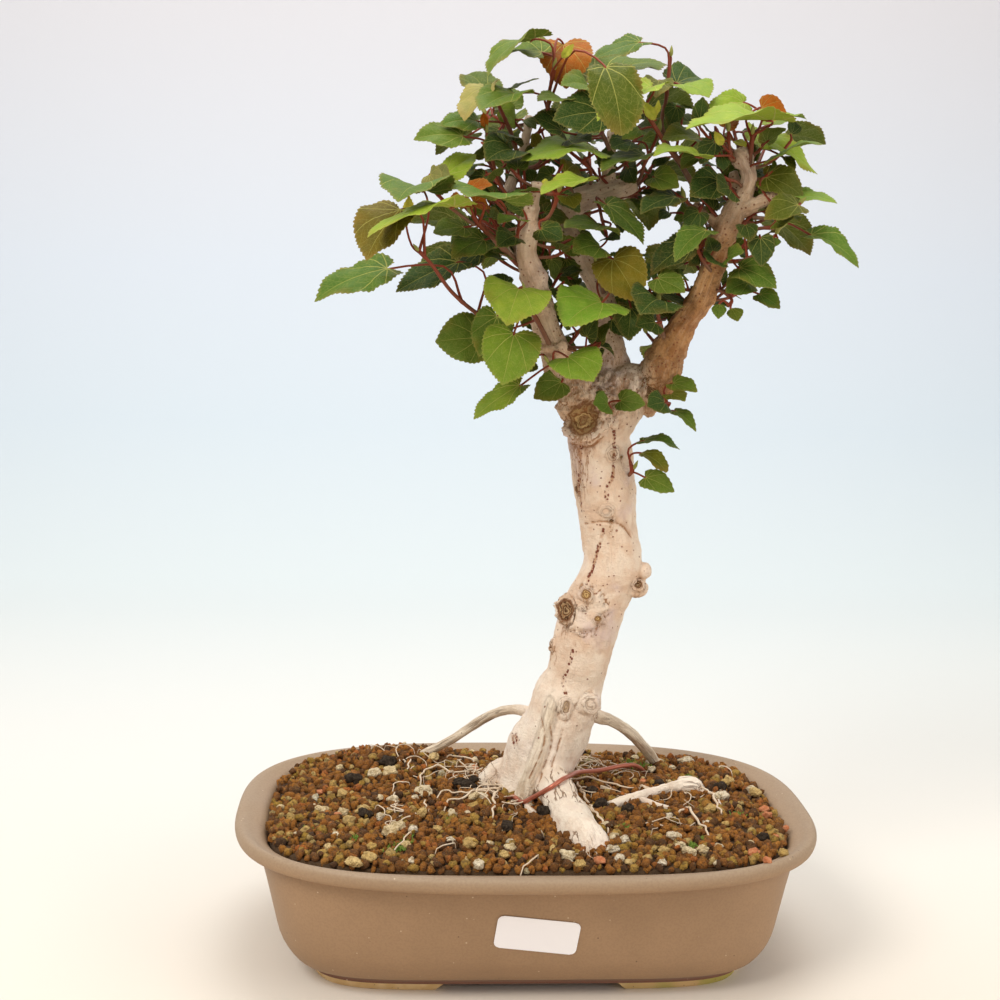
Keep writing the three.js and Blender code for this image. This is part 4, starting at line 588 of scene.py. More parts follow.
class NodeTree:
    """Tree of nodes, each made with its settings and its inputs by one call."""

    family = ""

    def put(self, socket, value):
        """An input is a value, another node's output, or a list of outputs to be joined."""
        for one in value if isinstance(value, list) else [value]:
            if isinstance(one, bpy.types.NodeSocket):
                self.tree.links.new(one, socket)
            elif one is not None:
                socket.default_value = one

    def node(self, kind, inputs=(), **settings):
        made = self.tree.nodes.new(self.family + kind)
        for key, value in settings.items():
            setattr(made, key, value)
        for key, value in dict(inputs).items():
            self.put(made.inputs[key], value)
        return made


# Finishes: each is one node material on the piece's own coordinates

class Finish(NodeTree):
    """Node material, with short calls for the nodes that the finishes below are made of."""

    family = "ShaderNode"

    def __init__(self, name, roughness):
        self.material = bpy.data.materials.new(name)
        self.material.use_nodes = True
        self.tree = self.material.node_tree
        self.shader = self.tree.nodes["Principled BSDF"]
        self.shader.inputs["Roughness"].default_value = roughness

    def place(self):
        """The piece's own coordinates in metres."""
        return self.node("TexCoord").outputs["Object"]

    def axis(self, spot, axis):
        return self.node("SeparateXYZ", {"Vector": spot}).outputs[axis]

    def value(self, name, output="Fac"):
        return self.node("Attribute", attribute_name=name).outputs[output]

    def noise(self, spot, scale, detail=3.0, roughness=0.5):
        made = self.node("TexNoise", {"Vector": spot, "Scale": scale, "Detail": detail,
                                      "Roughness": roughness})
        return made.outputs["Fac"]

    def streaks(self, spot, scales, detail=3.0, roughness=0.5):
        """Noise with a scale of its own for each axis."""
        stretched = self.node("Mapping", {"Vector": spot, "Scale": scales}).outputs[0]
        return self.noise(stretched, 1.0, detail, roughness)

    def cells(self, spot, scale, output="Distance", feature="F1"):
        return self.node("TexVoronoi", {"Vector": spot, "Scale": scale}, feature=feature).outputs[output]

    def sum(self, operation, *values):
        return self.node("Math", dict(enumerate(values)), operation=operation).outputs[0]

    def times(self, value, *others):
        for other in others:
            value = self.sum("MULTIPLY", value, other)
        return value

    def most(self, value, *others):
        for other in others:
            value = self.sum("MAXIMUM", value, other)
        return value

    def span(self, value, low, high, out_low=0.0, out_high=1.0, smooth=True):
        """Value from low to high turned into out_low to out_high, and held past them."""
        kind = "SMOOTHSTEP" if smooth else "LINEAR"
        inputs = {0: value, 1: low, 2: high, 3: out_low, 4: out_high}
        return self.node("MapRange", inputs, interpolation_type=kind).outputs[0]

    def threads(self, value, wide, narrow):
        """Thin lines where a noise passes its middle."""
        return self.span(self.sum("ABSOLUTE", self.sum("SUBTRACT", value, 0.5)), wide, narrow)

    def mix(self, share, one, other, blend="MIX"):
        made = self.node("Mix", data_type="RGBA", blend_type=blend)
        self.put(made.inputs["Factor"], share)
        for socket, colour in ((6, one), (7, other)):
            self.put(made.inputs[socket], (*colour, 1.0) if isinstance(colour, tuple) else colour)
        return made.outputs[2]

    def over(self, colour, other, mask, share):
        """Colour with a share of the other one laid over it where the mask is."""
        return self.mix(self.times(mask, share), colour, other)

    def shaded(self, share, colour, factor):
        return self.mix(share, colour, self.mix(1.0, colour, factor, "MULTIPLY"))

    def ramp(self, value, stops):
        made = self.node("ValToRGB", {"Fac": value})
        elements = made.color_ramp.elements
        while len(elements) < len(stops):
            elements.new(0.5)
        for element, (place, colour) in zip(elements, stops):
            element.position = place
            element.color = (*colour, 1.0)
        return made.outputs["Color"]

    def gloss(self, level):
        self.shader.inputs["Specular IOR Level"].default_value = level

    def lit(self, colour, height=None, depth=0.0004, strength=1.0, roughness=None):
        """Colour, relief and gloss to the shader. depth is the relief's real height in metres."""
        self.put(self.shader.inputs["Base Color"], colour)
        self.put(self.shader.inputs["Roughness"], roughness)
        if height is not None:
            relief = self.node("Bump", {"Height": height, "Distance": depth, "Strength": strength})
            self.put(self.shader.inputs["Normal"], relief.outputs["Normal"])
        return self.material


# Plain finishes: roughness, two shades, scale and detail of their clouds, scale and detail of the relief, and
# its depth in metres and strength
PLAIN = {
    # The soil bed's dark shades stand for its dust and for painted shade in the gaps between the grains.
    "soil_dust_and_shade": (0.95, (0.035, 0.019, 0.009), (0.11, 0.057, 0.02), (500, 4), (900, 4), 0.001, 1.0),
    "copper_brown_wire": (0.33, (0.44, 0.125, 0.075), (0.62, 0.215, 0.135), (160, 3), (2200, 2), 4e-5, 0.4),
    "coated_paper": (0.42, (0.95, 0.92, 0.95), (0.98, 0.96, 0.98), (30, 3), (2600, 2), 3e-5, 0.3),
    "black_moulded_mesh": (0.5, (0.018, 0.018, 0.019), (0.035, 0.034, 0.033), (300, 2), (1200, 2), 1e-4, 0.4),
    "moss": (0.8, (0.08, 0.18, 0.018), (0.28, 0.40, 0.05), (260, 2), (2500, 2), 0.0002, 0.5),
    "fine_root_skin": (0.7, (0.58, 0.41, 0.26), (0.92, 0.79, 0.60), (130, 3), (1600, 3), 0.0003, 0.6),
}
WIRE_METAL = 0.55


def plain_finish(name, metal=0.0):
    """Two shades in clouds over a fine relief."""
    roughness, one, other, clouds, crumb, depth, strength = PLAIN[name]
    f = Finish(name, roughness)
    f.shader.inputs["Metallic"].default_value = metal
    spot = f.place()
    return f.lit(f.mix(f.noise(spot, *clouds), one, other), f.noise(spot, *crumb), depth, strength)


def stoneware():
    """Matt clay: brown wall, paler lip, dark foot band with a red edge, and mineral specks."""
    f = Finish("stoneware_matt", 0.62)
    spot = f.place()
    height = f.axis(spot, "Z")
    cloud = f.noise(spot, 26, 4)
    fine = f.noise(spot, 900, 2)
    colour = f.mix(f.span(cloud, 0.3, 0.7), (0.325, 0.196, 0.102), (0.372, 0.229, 0.124))
    colour = f.mix(f.span(height, 0.066, 0.0725, smooth=False), colour, (0.37, 0.262, 0.165))
    colour = f.mix(f.span(height, 0.0070, 0.0082), (0.25, 0.145, 0.095), colour)
    colour = f.mix(f.span(height, 0.0046, 0.0058), (0.21, 0.085, 0.05), colour)
    colour = f.mix(f.span(fine, 0.42, 0.62, 0, 0.2), colour, (0.22, 0.125, 0.075))
    # Mineral specks: scale, size from and to, how rare from and to, how strong, colour
    for scale, edge, core, few, fewer, share, speck in (
            (330, 0.17, 0.09, 0.80, 0.84, 0.7, (0.66, 0.52, 0.36)),
            (260, 0.14, 0.08, 0.82, 0.86, 0.6, (0.07, 0.04, 0.025))):
        fleck = f.span(f.cells(spot, scale), edge, core)
        mask = f.times(fleck, f.span(f.cells(spot, scale, "Color"), few, fewer))
        colour = f.over(colour, speck, mask, share)
    relief = f.sum("MULTIPLY_ADD", fine, 0.6, f.noise(spot, 220, 3))
    return f.lit(colour, relief, 0.00018, 0.5, f.span(cloud, 0.3, 0.7, 0.52, 0.68))


def bare_clay():
    f = Finish("bare_cream_clay", 0.85)
    spot = f.place()
    algae = f.times(f.span(f.axis(spot, "X"), 0.03, 0.075), f.span(f.noise(spot, 60, 4), 0.36, 0.6))
    colour = f.mix(f.span(f.noise(spot, 120, 4), 0.35, 0.7), (0.68, 0.45, 0.20), (0.78, 0.56, 0.29))
    colour = f.over(colour, (0.40, 0.36, 0.06), algae, 0.8)
    colour = f.over(colour, (0.16, 0.09, 0.05), f.span(f.cells(spot, 330), 0.13, 0.08), 0.6)
    return f.lit(colour, f.noise(spot, 700, 3), 0.0002, 0.6)


def baked_clay():
    """Soil grains: each has its own shade."""
    f = Finish("baked_clay_grains", 0.92)
    spot = f.place()
    colour = f.ramp(f.value("grain"), [
        (0, (0.08, 0.032, 0.009)), (0.1, (0.19, 0.072, 0.013)), (0.32, (0.38, 0.135, 0.016)),
        (0.58, (0.55, 0.21, 0.024)), (0.7, (0.34, 0.14, 0.02)), (0.78, (0.60, 0.175, 0.028)),
        (0.87, (0.48, 0.28, 0.035)), (0.95, (0.66, 0.39, 0.08)), (1, (0.74, 0.53, 0.20))])
    patch = f.noise(spot, 520, 4, 0.65)
    colour = f.mix(f.span(patch, 0.44, 0.66, 0, 0.7), colour, (0.085, 0.045, 0.018))
    crumb = f.noise(spot, 1250, 3, 0.7)
    colour = f.mix(f.span(crumb, 0.55, 0.72, 0, 0.45), colour, (0.68, 0.38, 0.10))
    return f.lit(colour, f.span(crumb, 0.3, 0.7), 0.0007, 1.0)


def pale_stone():
    f = Finish("pale_pumice", 0.9)
    spot = f.place()
    colour = f.ramp(f.value("grain"), [
        (0, (0.58, 0.36, 0.09)), (0.25, (0.76, 0.55, 0.24)), (0.55, (0.84, 0.69, 0.44)),
        (0.8, (0.88, 0.76, 0.57)), (0.92, (0.66, 0.60, 0.44)), (1, (0.42, 0.36, 0.20))])
    stain = f.noise(spot, 330, 4, 0.65)
    colour = f.mix(f.span(stain, 0.44, 0.64, 0, 0.7), colour, (0.36, 0.225, 0.075))
    pores = f.cells(spot, 1100)
    colour = f.mix(f.span(pores, 0.32, 0.12, 0, 0.45), colour, (0.42, 0.29, 0.13))
    relief = f.sum("MULTIPLY_ADD", pores, 1.3, f.span(f.noise(spot, 750, 3), 0.3, 0.7))
    return f.lit(colour, relief, 0.0006, 1.0)


def chipped(name, one, other):
    """Single dark or reddish lumps on the soil."""
    f = Finish(name, 0.95)
    f.gloss(0.12)
    crumb = f.noise(f.place(), 700, 4, 0.7)
    return f.lit(f.mix(f.span(crumb, 0.35, 0.7), one, other), crumb, 0.0009, 1.0)


class Bark(Finish):
    """Pale smooth skin with pores, folds and ringed scars. It follows the wood by the point values that the
    tree carries: its place across and along its limb, how brown and how fibrous it is, and how near scars,
    rows of pores and folds are. cuts gathers the marks that are cut into the relief."""

    def __init__(self):
        super().__init__("pale_bark", 0.7)
        self.gloss(0.3)
        self.spot = self.place()
        self.height = self.axis(self.spot, "Z")
        self.wood = self.value("wood_place", "Vector")
        self.kind = self.value("brown")
        self.fibrous = self.value("fibrous")
        self.fibre = self.streaks(self.wood, (520, 520, 60), 5, 0.65)
        self.patch = self.noise(self.spot, 85, 5, 0.62)
        self.grit = self.noise(self.spot, 420, 4, 0.7)
        self.cuts = []

    def skin(self):
        """Cream on the trunk, whiter on the roots, tan on the right bough and straw where it is fibrous."""
        patch = self.patch
        white = self.most(self.span(self.kind, 0.0, -0.3, 0, 0.9, smooth=False),
                          self.span(self.height, 0.16, 0.105, 0, 0.75))
        cream = self.mix(self.span(patch, 0.36, 0.64), (0.80, 0.575, 0.41), (0.90, 0.735, 0.58))
        cream = self.mix(self.span(self.noise(self.spot, 34, 4, 0.55), 0.5, 0.64, 0, 0.8), cream,
                         (0.75, 0.575, 0.515))
        cream = self.over(cream, (0.95, 0.83, 0.66), self.span(self.fibre, 0.5, 0.68),
                          self.sum("MULTIPLY_ADD", self.fibrous, 0.5, 0.12))
        cream = self.over(cream, (1.0, 0.88, 0.73), white, self.span(patch, 0.3, 0.6, 0.55, 0.95))
        cream = self.mix(self.span(self.grit, 0.54, 0.7, 0, 0.22), cream, (0.62, 0.42, 0.31))
        tan = self.mix(self.span(patch, 0.38, 0.62), (0.36, 0.145, 0.042), (0.56, 0.285, 0.105))
        tan = self.mix(self.span(self.fibre, 0.52, 0.68, 0, 0.45), tan, (0.70, 0.45, 0.24))
        tan = self.mix(self.span(self.grit, 0.5, 0.64, 0, 0.5), tan, (0.20, 0.085, 0.03))
        brown = self.times(self.most(self.kind, 0.0), self.span(self.height, 0.36, 0.395, 1, 0.45))
        straw = self.mix(self.span(self.fibre, 0.4, 0.6), (0.46, 0.33, 0.18), (0.95, 0.83, 0.62))
        much = self.span(brown, 0.3, 0.8, 0.7, 0.15)
        return self.over(self.mix(brown, cream, tan), straw, self.fibrous, much)

    def weather(self, colour):
        """Dirt, painted shade in the hollows, darker streaks at the fork and runs below the scars."""
        dirt = self.span(self.streaks(self.spot, (150, 150, 110), 5, 0.72), 0.56, 0.7)
        colour = self.over(colour, (0.54, 0.35, 0.22), dirt, 0.24)
        # Painted shade: the deeper a point of the bark is pushed in, the darker it is painted.
        colour = self.shaded(self.span(self.value("hollow"), 0.4, 1.5, 0, 0.5), colour, (0.58, 0.37, 0.24))
        runs = self.threads(self.streaks(self.spot, (330, 330, 42), 4, 0.62), 0.035, 0.01)
        # A streaked band round the fork, where the boughs part, is painted darker.
        fork = self.times(self.span(self.height, 0.268, 0.288), self.span(self.height, 0.33, 0.30))
        fork_streaks = self.span(self.streaks(self.spot, (190, 190, 90), 5, 0.7), 0.47, 0.6)
        colour = self.over(colour, (0.30, 0.16, 0.075), self.times(fork, fork_streaks), 0.6)
        drip = self.value("drip")
        net = self.times(runs, self.span(self.most(drip, self.times(fork, 0.2)), 0.05, 0.3))
        self.cuts.append(self.times(net, 0.8))
        colour = self.over(colour, (0.56, 0.33, 0.17), self.span(drip, 0.1, 0.7), 0.35)
        return self.over(colour, (0.42, 0.165, 0.05), net, 0.75)

    def marks(self, colour):
        """Long cracks in fibrous wood, crazed roots, rows of pores with their runs, and folds with painted
        shade in their creases.
        """
        line = self.threads(self.streaks(self.wood, (210, 210, 17), 3, 0.6), 0.028, 0.01)
        line = self.times(line, self.span(self.streaks(self.wood, (60, 60, 45), 2), 0.47, 0.58),
                          self.most(self.fibrous, self.span(self.kind, -0.1, -0.3, 0.1, 0.9)))
        colour = self.over(colour, (0.20, 0.11, 0.06), line, 0.75)
        split = self.threads(self.streaks(self.spot, (190, 34, 130)), 0.03, 0.012)
        split = self.times(split, self.span(self.noise(self.spot, 62, 2), 0.52, 0.6),
                           self.span(self.kind, -0.12, -0.26))
        colour = self.over(colour, (0.26, 0.14, 0.07), split, 0.85)
        crack = self.value("crack")
        dots = self.times(self.span(self.cells(self.spot, 520), 0.46, 0.32), self.span(crack, 1.4, 0.9),
                          self.span(self.noise(self.spot, 190, 2), 0.3, 0.4))
        drip = self.times(self.span(crack, 1.3, 0.3), self.span(self.noise(self.spot, 90, 3), 0.4, 0.56))
        colour = self.over(colour, (0.46, 0.20, 0.075), drip, 0.7)
        colour = self.over(colour, (0.19, 0.035, 0.015), dots, 0.95)
        # Painted shade: the creases of the folds are painted darker, broken up by a noise.
        crease = self.times(self.span(self.value("fold"), 0.95, 0.2),
                            self.span(self.noise(self.spot, 210, 3), 0.33, 0.47))
        self.cuts += [line, split, dots, crease]
        return self.over(colour, (0.38, 0.17, 0.06), crease, 0.8)

    def pores(self):
        """Single pores, more of them low down and above the fork."""
        many = self.sum("MULTIPLY_ADD", self.span(self.height, 0.27, 0.30), -0.35,
                        self.span(self.height, 0.14, 0.18, 0.85, 0.66))
        fine = self.times(self.span(self.cells(self.spot, 400), 0.24, 0.13),
                          self.sum("GREATER_THAN", self.cells(self.spot, 400, "Color"), many))
        rare = self.times(self.span(self.cells(self.spot, 230), 0.18, 0.12),
                          self.sum("GREATER_THAN", self.cells(self.spot, 230, "Color"), 0.8))
        return self.most(fine, rare)

    def scars(self, colour):
        """Rings round each cut, and its ochre or dark middle."""
        scar = self.value("scar")
        filled = self.value("filled")
        ripple = self.times(self.noise(self.spot, 230, 4, 0.7), 0.9)
        wobble = self.sum("MULTIPLY_ADD", self.patch, 0.7, ripple)
        turns = self.times(self.sum("ADD", scar, wobble), 17.0)
        inside = self.span(scar, 0.8, 0.62)
        ring = self.times(self.span(scar, 1.75, 1.3), self.span(self.sum("SINE", turns), 0.62, 0.95),
                          self.span(self.noise(self.spot, 170, 3), 0.4, 0.56, 0.15, 1.0))
        edge = self.times(inside, self.span(scar, 0.5, 0.62))
        band = self.span(self.sum("SINE", turns), -0.4, 0.6)
        ochre = self.mix(band, (0.66, 0.43, 0.17), (0.28, 0.125, 0.036))
        dark = self.mix(self.span(self.sum("SINE", self.times(turns, 1.7)), -0.5, 0.3), (0.46, 0.30, 0.15),
                        (0.10, 0.042, 0.016))
        core = self.mix(self.span(filled, 0.55, 0.8), ochre, dark)
        colour = self.over(colour, core, inside, self.span(filled, 0.1, 0.5))
        colour = self.over(colour, (0.31, 0.13, 0.042), ring, self.span(filled, 0, 0.8, 0.5, 0.9))
        self.cuts += [ring, edge]
        return self.over(colour, (0.17, 0.062, 0.022), edge, self.span(filled, 0.1, 0.6, 0.3, 0.85))

    def relief(self, pores):
        """Each layer of the relief with its share, less the cuts."""
        fibre = self.times(self.span(self.fibre, 0.3, 0.7), self.fibrous)
        fine = self.span(self.noise(self.spot, 1100, 3, 0.6), 0.3, 0.7)
        wrinkle = self.span(self.streaks(self.spot, (70, 70, 420), 4, 0.7), 0.35, 0.65)
        relief = fibre
        for layer, share in ((fine, 0.35), (wrinkle, 0.22), (self.patch, 0.7), (self.grit, 0.95),
                             (self.most(*self.cuts), -0.55), (pores, 0.6)):
            relief = self.sum("MULTIPLY_ADD", layer, share, relief)
        return relief


def bark():
    f = Bark()
    colour = f.marks(f.weather(f.skin()))
    pores = f.pores()
    colour = f.scars(f.over(colour, (0.27, 0.075, 0.032), pores, 0.8))
    return f.lit(colour, f.relief(pores), 0.0007, 0.9)


def stem_skin():
    """Red-brown petioles that grow into grey-brown twigs with age."""
    f = Finish("stem_skin", 0.5)
    f.gloss(0.25)
    spot = f.place()
    age = f.value("age")
    young = f.mix(f.noise(spot, 260, 3), (0.30, 0.042, 0.018), (0.17, 0.045, 0.018))
    old = f.mix(f.noise(spot, 400, 4), (0.13, 0.058, 0.03), (0.27, 0.16, 0.095))
    fresh = f.mix(f.span(age, -1, -0.4), (0.30, 0.30, 0.07), young)
    colour = f.mix(f.span(age, 0.35, 1.0), fresh, old)
    colour = f.over(colour, (0.40, 0.29, 0.20), f.span(f.cells(spot, 900), 0.16, 0.08), 0.5)
    return f.lit(colour, f.noise(spot, 1800, 3), 0.0002, 0.6)


VEIN_TURN = 0.64  # angle between two main veins where they leave the notch
VEIN_BEND = 0.35


def leaf(name, under):
    """One side of a blade: net of veins drawn from the notch, in the blade's own plane."""
    f = Finish(name, 0.6 if under else 0.5)
    f.gloss(0.06 if under else 0.12)
    plane = f.node("UVMap", uv_map="blade").outputs["UV"]
    out = f.node("VectorMath", {0: plane}, operation="LENGTH").outputs["Value"]
    turn = f.sum("ARCTAN2", f.sum("ABSOLUTE", f.axis(plane, "Y")), f.axis(plane, "X"))
    bent = f.times(turn, f.sum("MULTIPLY_ADD", out, VEIN_BEND, 1.0))
    off = f.sum("PINGPONG", bent, VEIN_TURN / 2)
    taper = f.span(out, 0, 1.05, 1.0, 0.3, smooth=False)
    main = f.span(f.sum("DIVIDE", f.times(off, out), taper), 0.014, 0.004)
    wander = f.times(f.noise(plane, 4, 2), 0.12)
    side_place = f.sum("ADD", f.sum("DIVIDE", out, f.sum("MULTIPLY_ADD", off, 1.5, 1.0)), wander)
    side = f.span(f.sum("PINGPONG", side_place, 0.062), 0.0075, 0.0015)
    side = f.times(side, f.span(out, 0.12, 0.24))
    net = f.span(f.cells(plane, 17, feature="DISTANCE_TO_EDGE"), 0.07, 0.01)
    spot = f.place()
    colour = f.shaded(f.span(f.noise(plane, 5, 4), 0.3, 0.7), f.value("tint", "Color"), (0.78, 0.86, 0.72))
    colour = f.shaded(f.span(f.noise(spot, 90, 3), 0.4, 0.7, 0, 0.35), colour, (1.25, 1.12, 0.9))
    if under:
        colour = f.mix(0.2, colour, (0.25, 0.28, 0.07))
    pale = (0.50, 0.47, 0.15) if under else (0.60, 0.56, 0.14)
    shares = (0.16, 0.28, 0.55) if under else (0.1, 0.15, 0.48)
    for mask, share in zip((net, side, main), shares):
        colour = f.over(colour, pale, mask, share)
    edge = f.value("edge")
    colour = f.over(colour, (0.46, 0.33, 0.10), f.span(edge, 0.9, 1.0), 0.22)
    rust = f.times(f.span(edge, 0.5, 1.0), f.span(f.noise(spot, 55, 3), 0.52, 0.68))
    colour = f.over(colour, (0.30, 0.15, 0.025), rust, 0.28)
    lines = f.most(main, f.times(side, 0.6), f.times(net, 0.25))
    relief = f.sum("MULTIPLY_ADD", f.noise(plane, 26, 2), 0.5, f.times(lines, 1.0 if under else -1.0))
    return f.lit(colour, relief, 0.0003, 0.75)


# Pot

def oval_power(inset):
    share = min(max(inset / FOOT_INSET, 0), 1)
    return RIM_ROUNDNESS + (FOOT_ROUNDNESS - RIM_ROUNDNESS) * share ** 1.3


def oval_ring(inset, angles):
    """Points of the pot's oval at a distance in from the rim."""
    a, b = RIM_HALF - inset
    power = oval_power(inset)
    reach = (np.abs(np.cos(angles) / a) ** power + np.abs(np.sin(angles) / b) ** power) ** (-1 / power)
    return np.stack([reach * np.cos(angles), reach * np.sin(angles)], -1)


def oval_angles(count):
    """Even steps round the oval rather than round its middle."""
    turn = 2 * np.pi * np.arange(4 * count + 1) / (4 * count)
    ring = oval_ring(0, turn)
    run = np.concatenate([[0], np.cumsum(np.linalg.norm(np.diff(ring, axis=0), axis=1))])
    return np.interp(np.arange(count) / count * run[-1], run, turn)


def rounded(points, step):
    """Points of a profile, joined by a smooth curve."""
    path = Path([(*p, 0) for p in points])
    return path.at(np.linspace(0, 1, max(3, int(path.length / step))))[:, :2]


def rings_at(profile, angles):
    return np.array([np.column_stack([oval_ring(inset, angles), np.full(len(angles), z)])
                     for inset, z in profile])


def make_pot():
    """Foot band, wall, lip and inside as one profile, taken round the oval."""
    profile = np.vstack([FOOT_BAND, rounded(WALL, 3.0), rounded(LIP, 1.2), rounded(INSIDE, 7)])
    rings = rings_at(profile, oval_angles(POT_SEGMENTS))
    points, quads, caps = closed_rings(rings, [(0, 0, profile[0][1]), (0, 0, profile[-1][1])])
    mesh = new_mesh("pot_body", points, [quads, caps], [stoneware()])
    mesh.set_sharp_from_angle(angle=math.radians(48))
    finish_piece(mesh, "pot_body", "stoneware", "pot")


def foot_section(level):
    """Corners of a foot's cross-section as (inset, height), with softened lower edges."""
    return [(FOOT_TOP_INSET, level), (FOOT_TOP_INSET + 0.9, 0.7), (FOOT_TOP_INSET + 1.5, 0.0),
            (FOOT_TOP_INSET + FOOT_WIDTH - 0.6, 0.0), (FOOT_TOP_INSET + FOOT_WIDTH, 0.7),
            (FOOT_TOP_INSET + FOOT_WIDTH, level)]


def make_feet():
    """Four angle-shaped feet at the corners of the foot band, with slanted ends."""
    points, faces, caps = [], [], []
    steps = 40
    corners = len(foot_section(FOOT_HEIGHT))
    for signs in ((1, 1), (-1, 1), (-1, -1), (1, -1)):
        base = len(points)
        for i in range(steps + 1):
            for inset, z in foot_section(FOOT_HEIGHT):
                a, b = RIM_HALF - inset
                lean = FOOT_GAP["slant"] * z / FOOT_HEIGHT
                start = math.atan2(b, FOOT_GAP["front"] / 2 - lean)
                stop = math.atan2(FOOT_GAP["side"] / 2 - lean, a)
                turn = start + (stop - start) * i / steps
                x, y = oval_ring(inset, np.array([turn]))[0]
                points.append((x * signs[0], y * signs[1], z))
        strip = grid_faces(steps + 1, corners, True, base)
        first = np.arange(base, base + corners)
        last = first + steps * corners
        ends = np.array([first[::-1], last])
        if signs[0] * signs[1] < 0:
            strip = strip[:, ::-1]
            ends = ends[:, ::-1]
        faces.append(strip)
        caps.append(ends)
    mesh = new_mesh("pot_feet", np.array(points), [np.vstack(faces), np.vstack(caps)], [bare_clay()])
    recalculate(mesh)
    mesh.set_sharp_from_angle(angle=math.radians(40))
    finish_piece(mesh, "pot_feet", "stoneware")


def make_label():
    """Paper tag that follows the wall of the pot."""
    wide, high = 33, 17  # points along its width and its height
    half_width, half_height = LABEL["width"] / 2, LABEL["height"] / 2
    u = np.linspace(-1, 1, wide)[None, :]
    v = np.linspace(-1, 1, high)[:, None]
    v = np.sign(v) * (1 - (1 - np.abs(v)) ** 1.35)
    past = np.maximum(np.abs(v) * half_height - (half_height - LABEL["corner"]), 0)
    reach = half_width - LABEL["corner"] + np.sqrt(np.maximum(LABEL["corner"] ** 2 - past ** 2, 0))
    across = u * reach
    up = v * half_height + 0 * u
    x = LABEL["x"] + across * math.cos(LABEL["tilt"]) + up * math.sin(LABEL["tilt"])
    z = LABEL["z"] + up * math.cos(LABEL["tilt"]) - across * math.sin(LABEL["tilt"])
    profile = rounded(WALL, 2.2)
    inset = np.interp(z, profile[:, 1], profile[:, 0])
    power = np.vectorize(oval_power)(inset)
    y = -(RIM_HALF[1] - inset) * (1 - (np.abs(x) / (RIM_HALF[0] - inset)) ** power) ** (1 / power)
    layers = [np.stack([x, y - LABEL["off"] - thick, z], -1).reshape(-1, 3) for thick in (0, LABEL["thick"])]
    half = wide * high
    back = grid_faces(high, wide, False)
    rim = np.concatenate([np.arange(wide), wide * np.arange(1, high) + wide - 1,
                          half - 2 - np.arange(wide - 1), wide * np.arange(high - 2, 0, -1)])
    sides = [back[:, ::-1], back + half, sheet_edge(rim, half)]
    mesh = new_mesh("label_tag", np.vstack(layers), sides, [plain_finish("coated_paper")])
    recalculate(mesh)
    mesh.set_sharp_from_angle(angle=math.radians(45))
    finish_piece(mesh, "label_tag", "paper", "label")


# Geometry node trees: each is made once, with its sizes as named inputs

class Grower(NodeTree):
    """Geometry node tree run on a plain mesh, which gives back a plain mesh."""

    def __init__(self, name, **sizes):
        self.tree = bpy.data.node_groups.new(name, "GeometryNodeTree")
        face = self.tree.interface
        face.new_socket("Form", in_out="INPUT", socket_type="NodeSocketGeometry")
        self.keys = {}
        for label, kind in sizes.items():
            socket = face.new_socket(label, in_out="INPUT", socket_type="NodeSocket" + kind)
            self.keys[label] = socket.identifier
        face.new_socket("Form", in_out="OUTPUT", socket_type="NodeSocketGeometry")
        self.given = self.tree.nodes.new("NodeGroupInput")
        self.form = self.given.outputs[0]
        self.result = self.tree.nodes.new("NodeGroupOutput")

    def size(self, label):
        return self.given.outputs[label]

    def first(self, kind, inputs=(), **settings):
        """First output of a new node."""
        return self.node(kind, inputs, **settings).outputs[0]

    def geometry(self, kind, inputs=(), **settings):
        return self.first("GeometryNode" + kind, inputs, **settings)

    def vector(self, operation, inputs):
        return self.first("ShaderNodeVectorMath", inputs, operation=operation)

    def named(self, name):
        return self.geometry("InputNamedAttribute", {"Name": name}, data_type="FLOAT")

    def chance(self, low, high, seed, kind="FLOAT"):
        """Random number, whole number or vector between two sizes."""
        first, last, out = {"FLOAT": (2, 3, 1), "INT": (4, 5, 2), "FLOAT_VECTOR": (0, 1, 0)}[kind]
        made = self.node("FunctionNodeRandomValue", {first: low, last: high, "Seed": seed}, data_type=kind)
        return made.outputs[out]

    def end(self, form, material=None):
        form = self.geometry("RealizeInstances", {0: form})
        if material is not None:
            form = self.geometry("SetMaterial", {"Geometry": form, "Material": material})
        self.tree.links.new(form, self.result.inputs[0])

    def run(self, mesh, name, **sizes):
        host = object_of(mesh, name + "_ground")
        work = host.modifiers.new("grow", "NODES")
        work.node_group = self.tree
        for label, value in sizes.items():
            work[self.keys[label]] = value
        graph = bpy.context.evaluated_depsgraph_get()
        grown = bpy.data.meshes.new_from_object(host.evaluated_get(graph), preserve_all_data_layers=True,
                                                depsgraph=graph)
        host.modifiers.remove(work)
        bpy.data.objects.remove(host)
        grown.name = name
        return grown


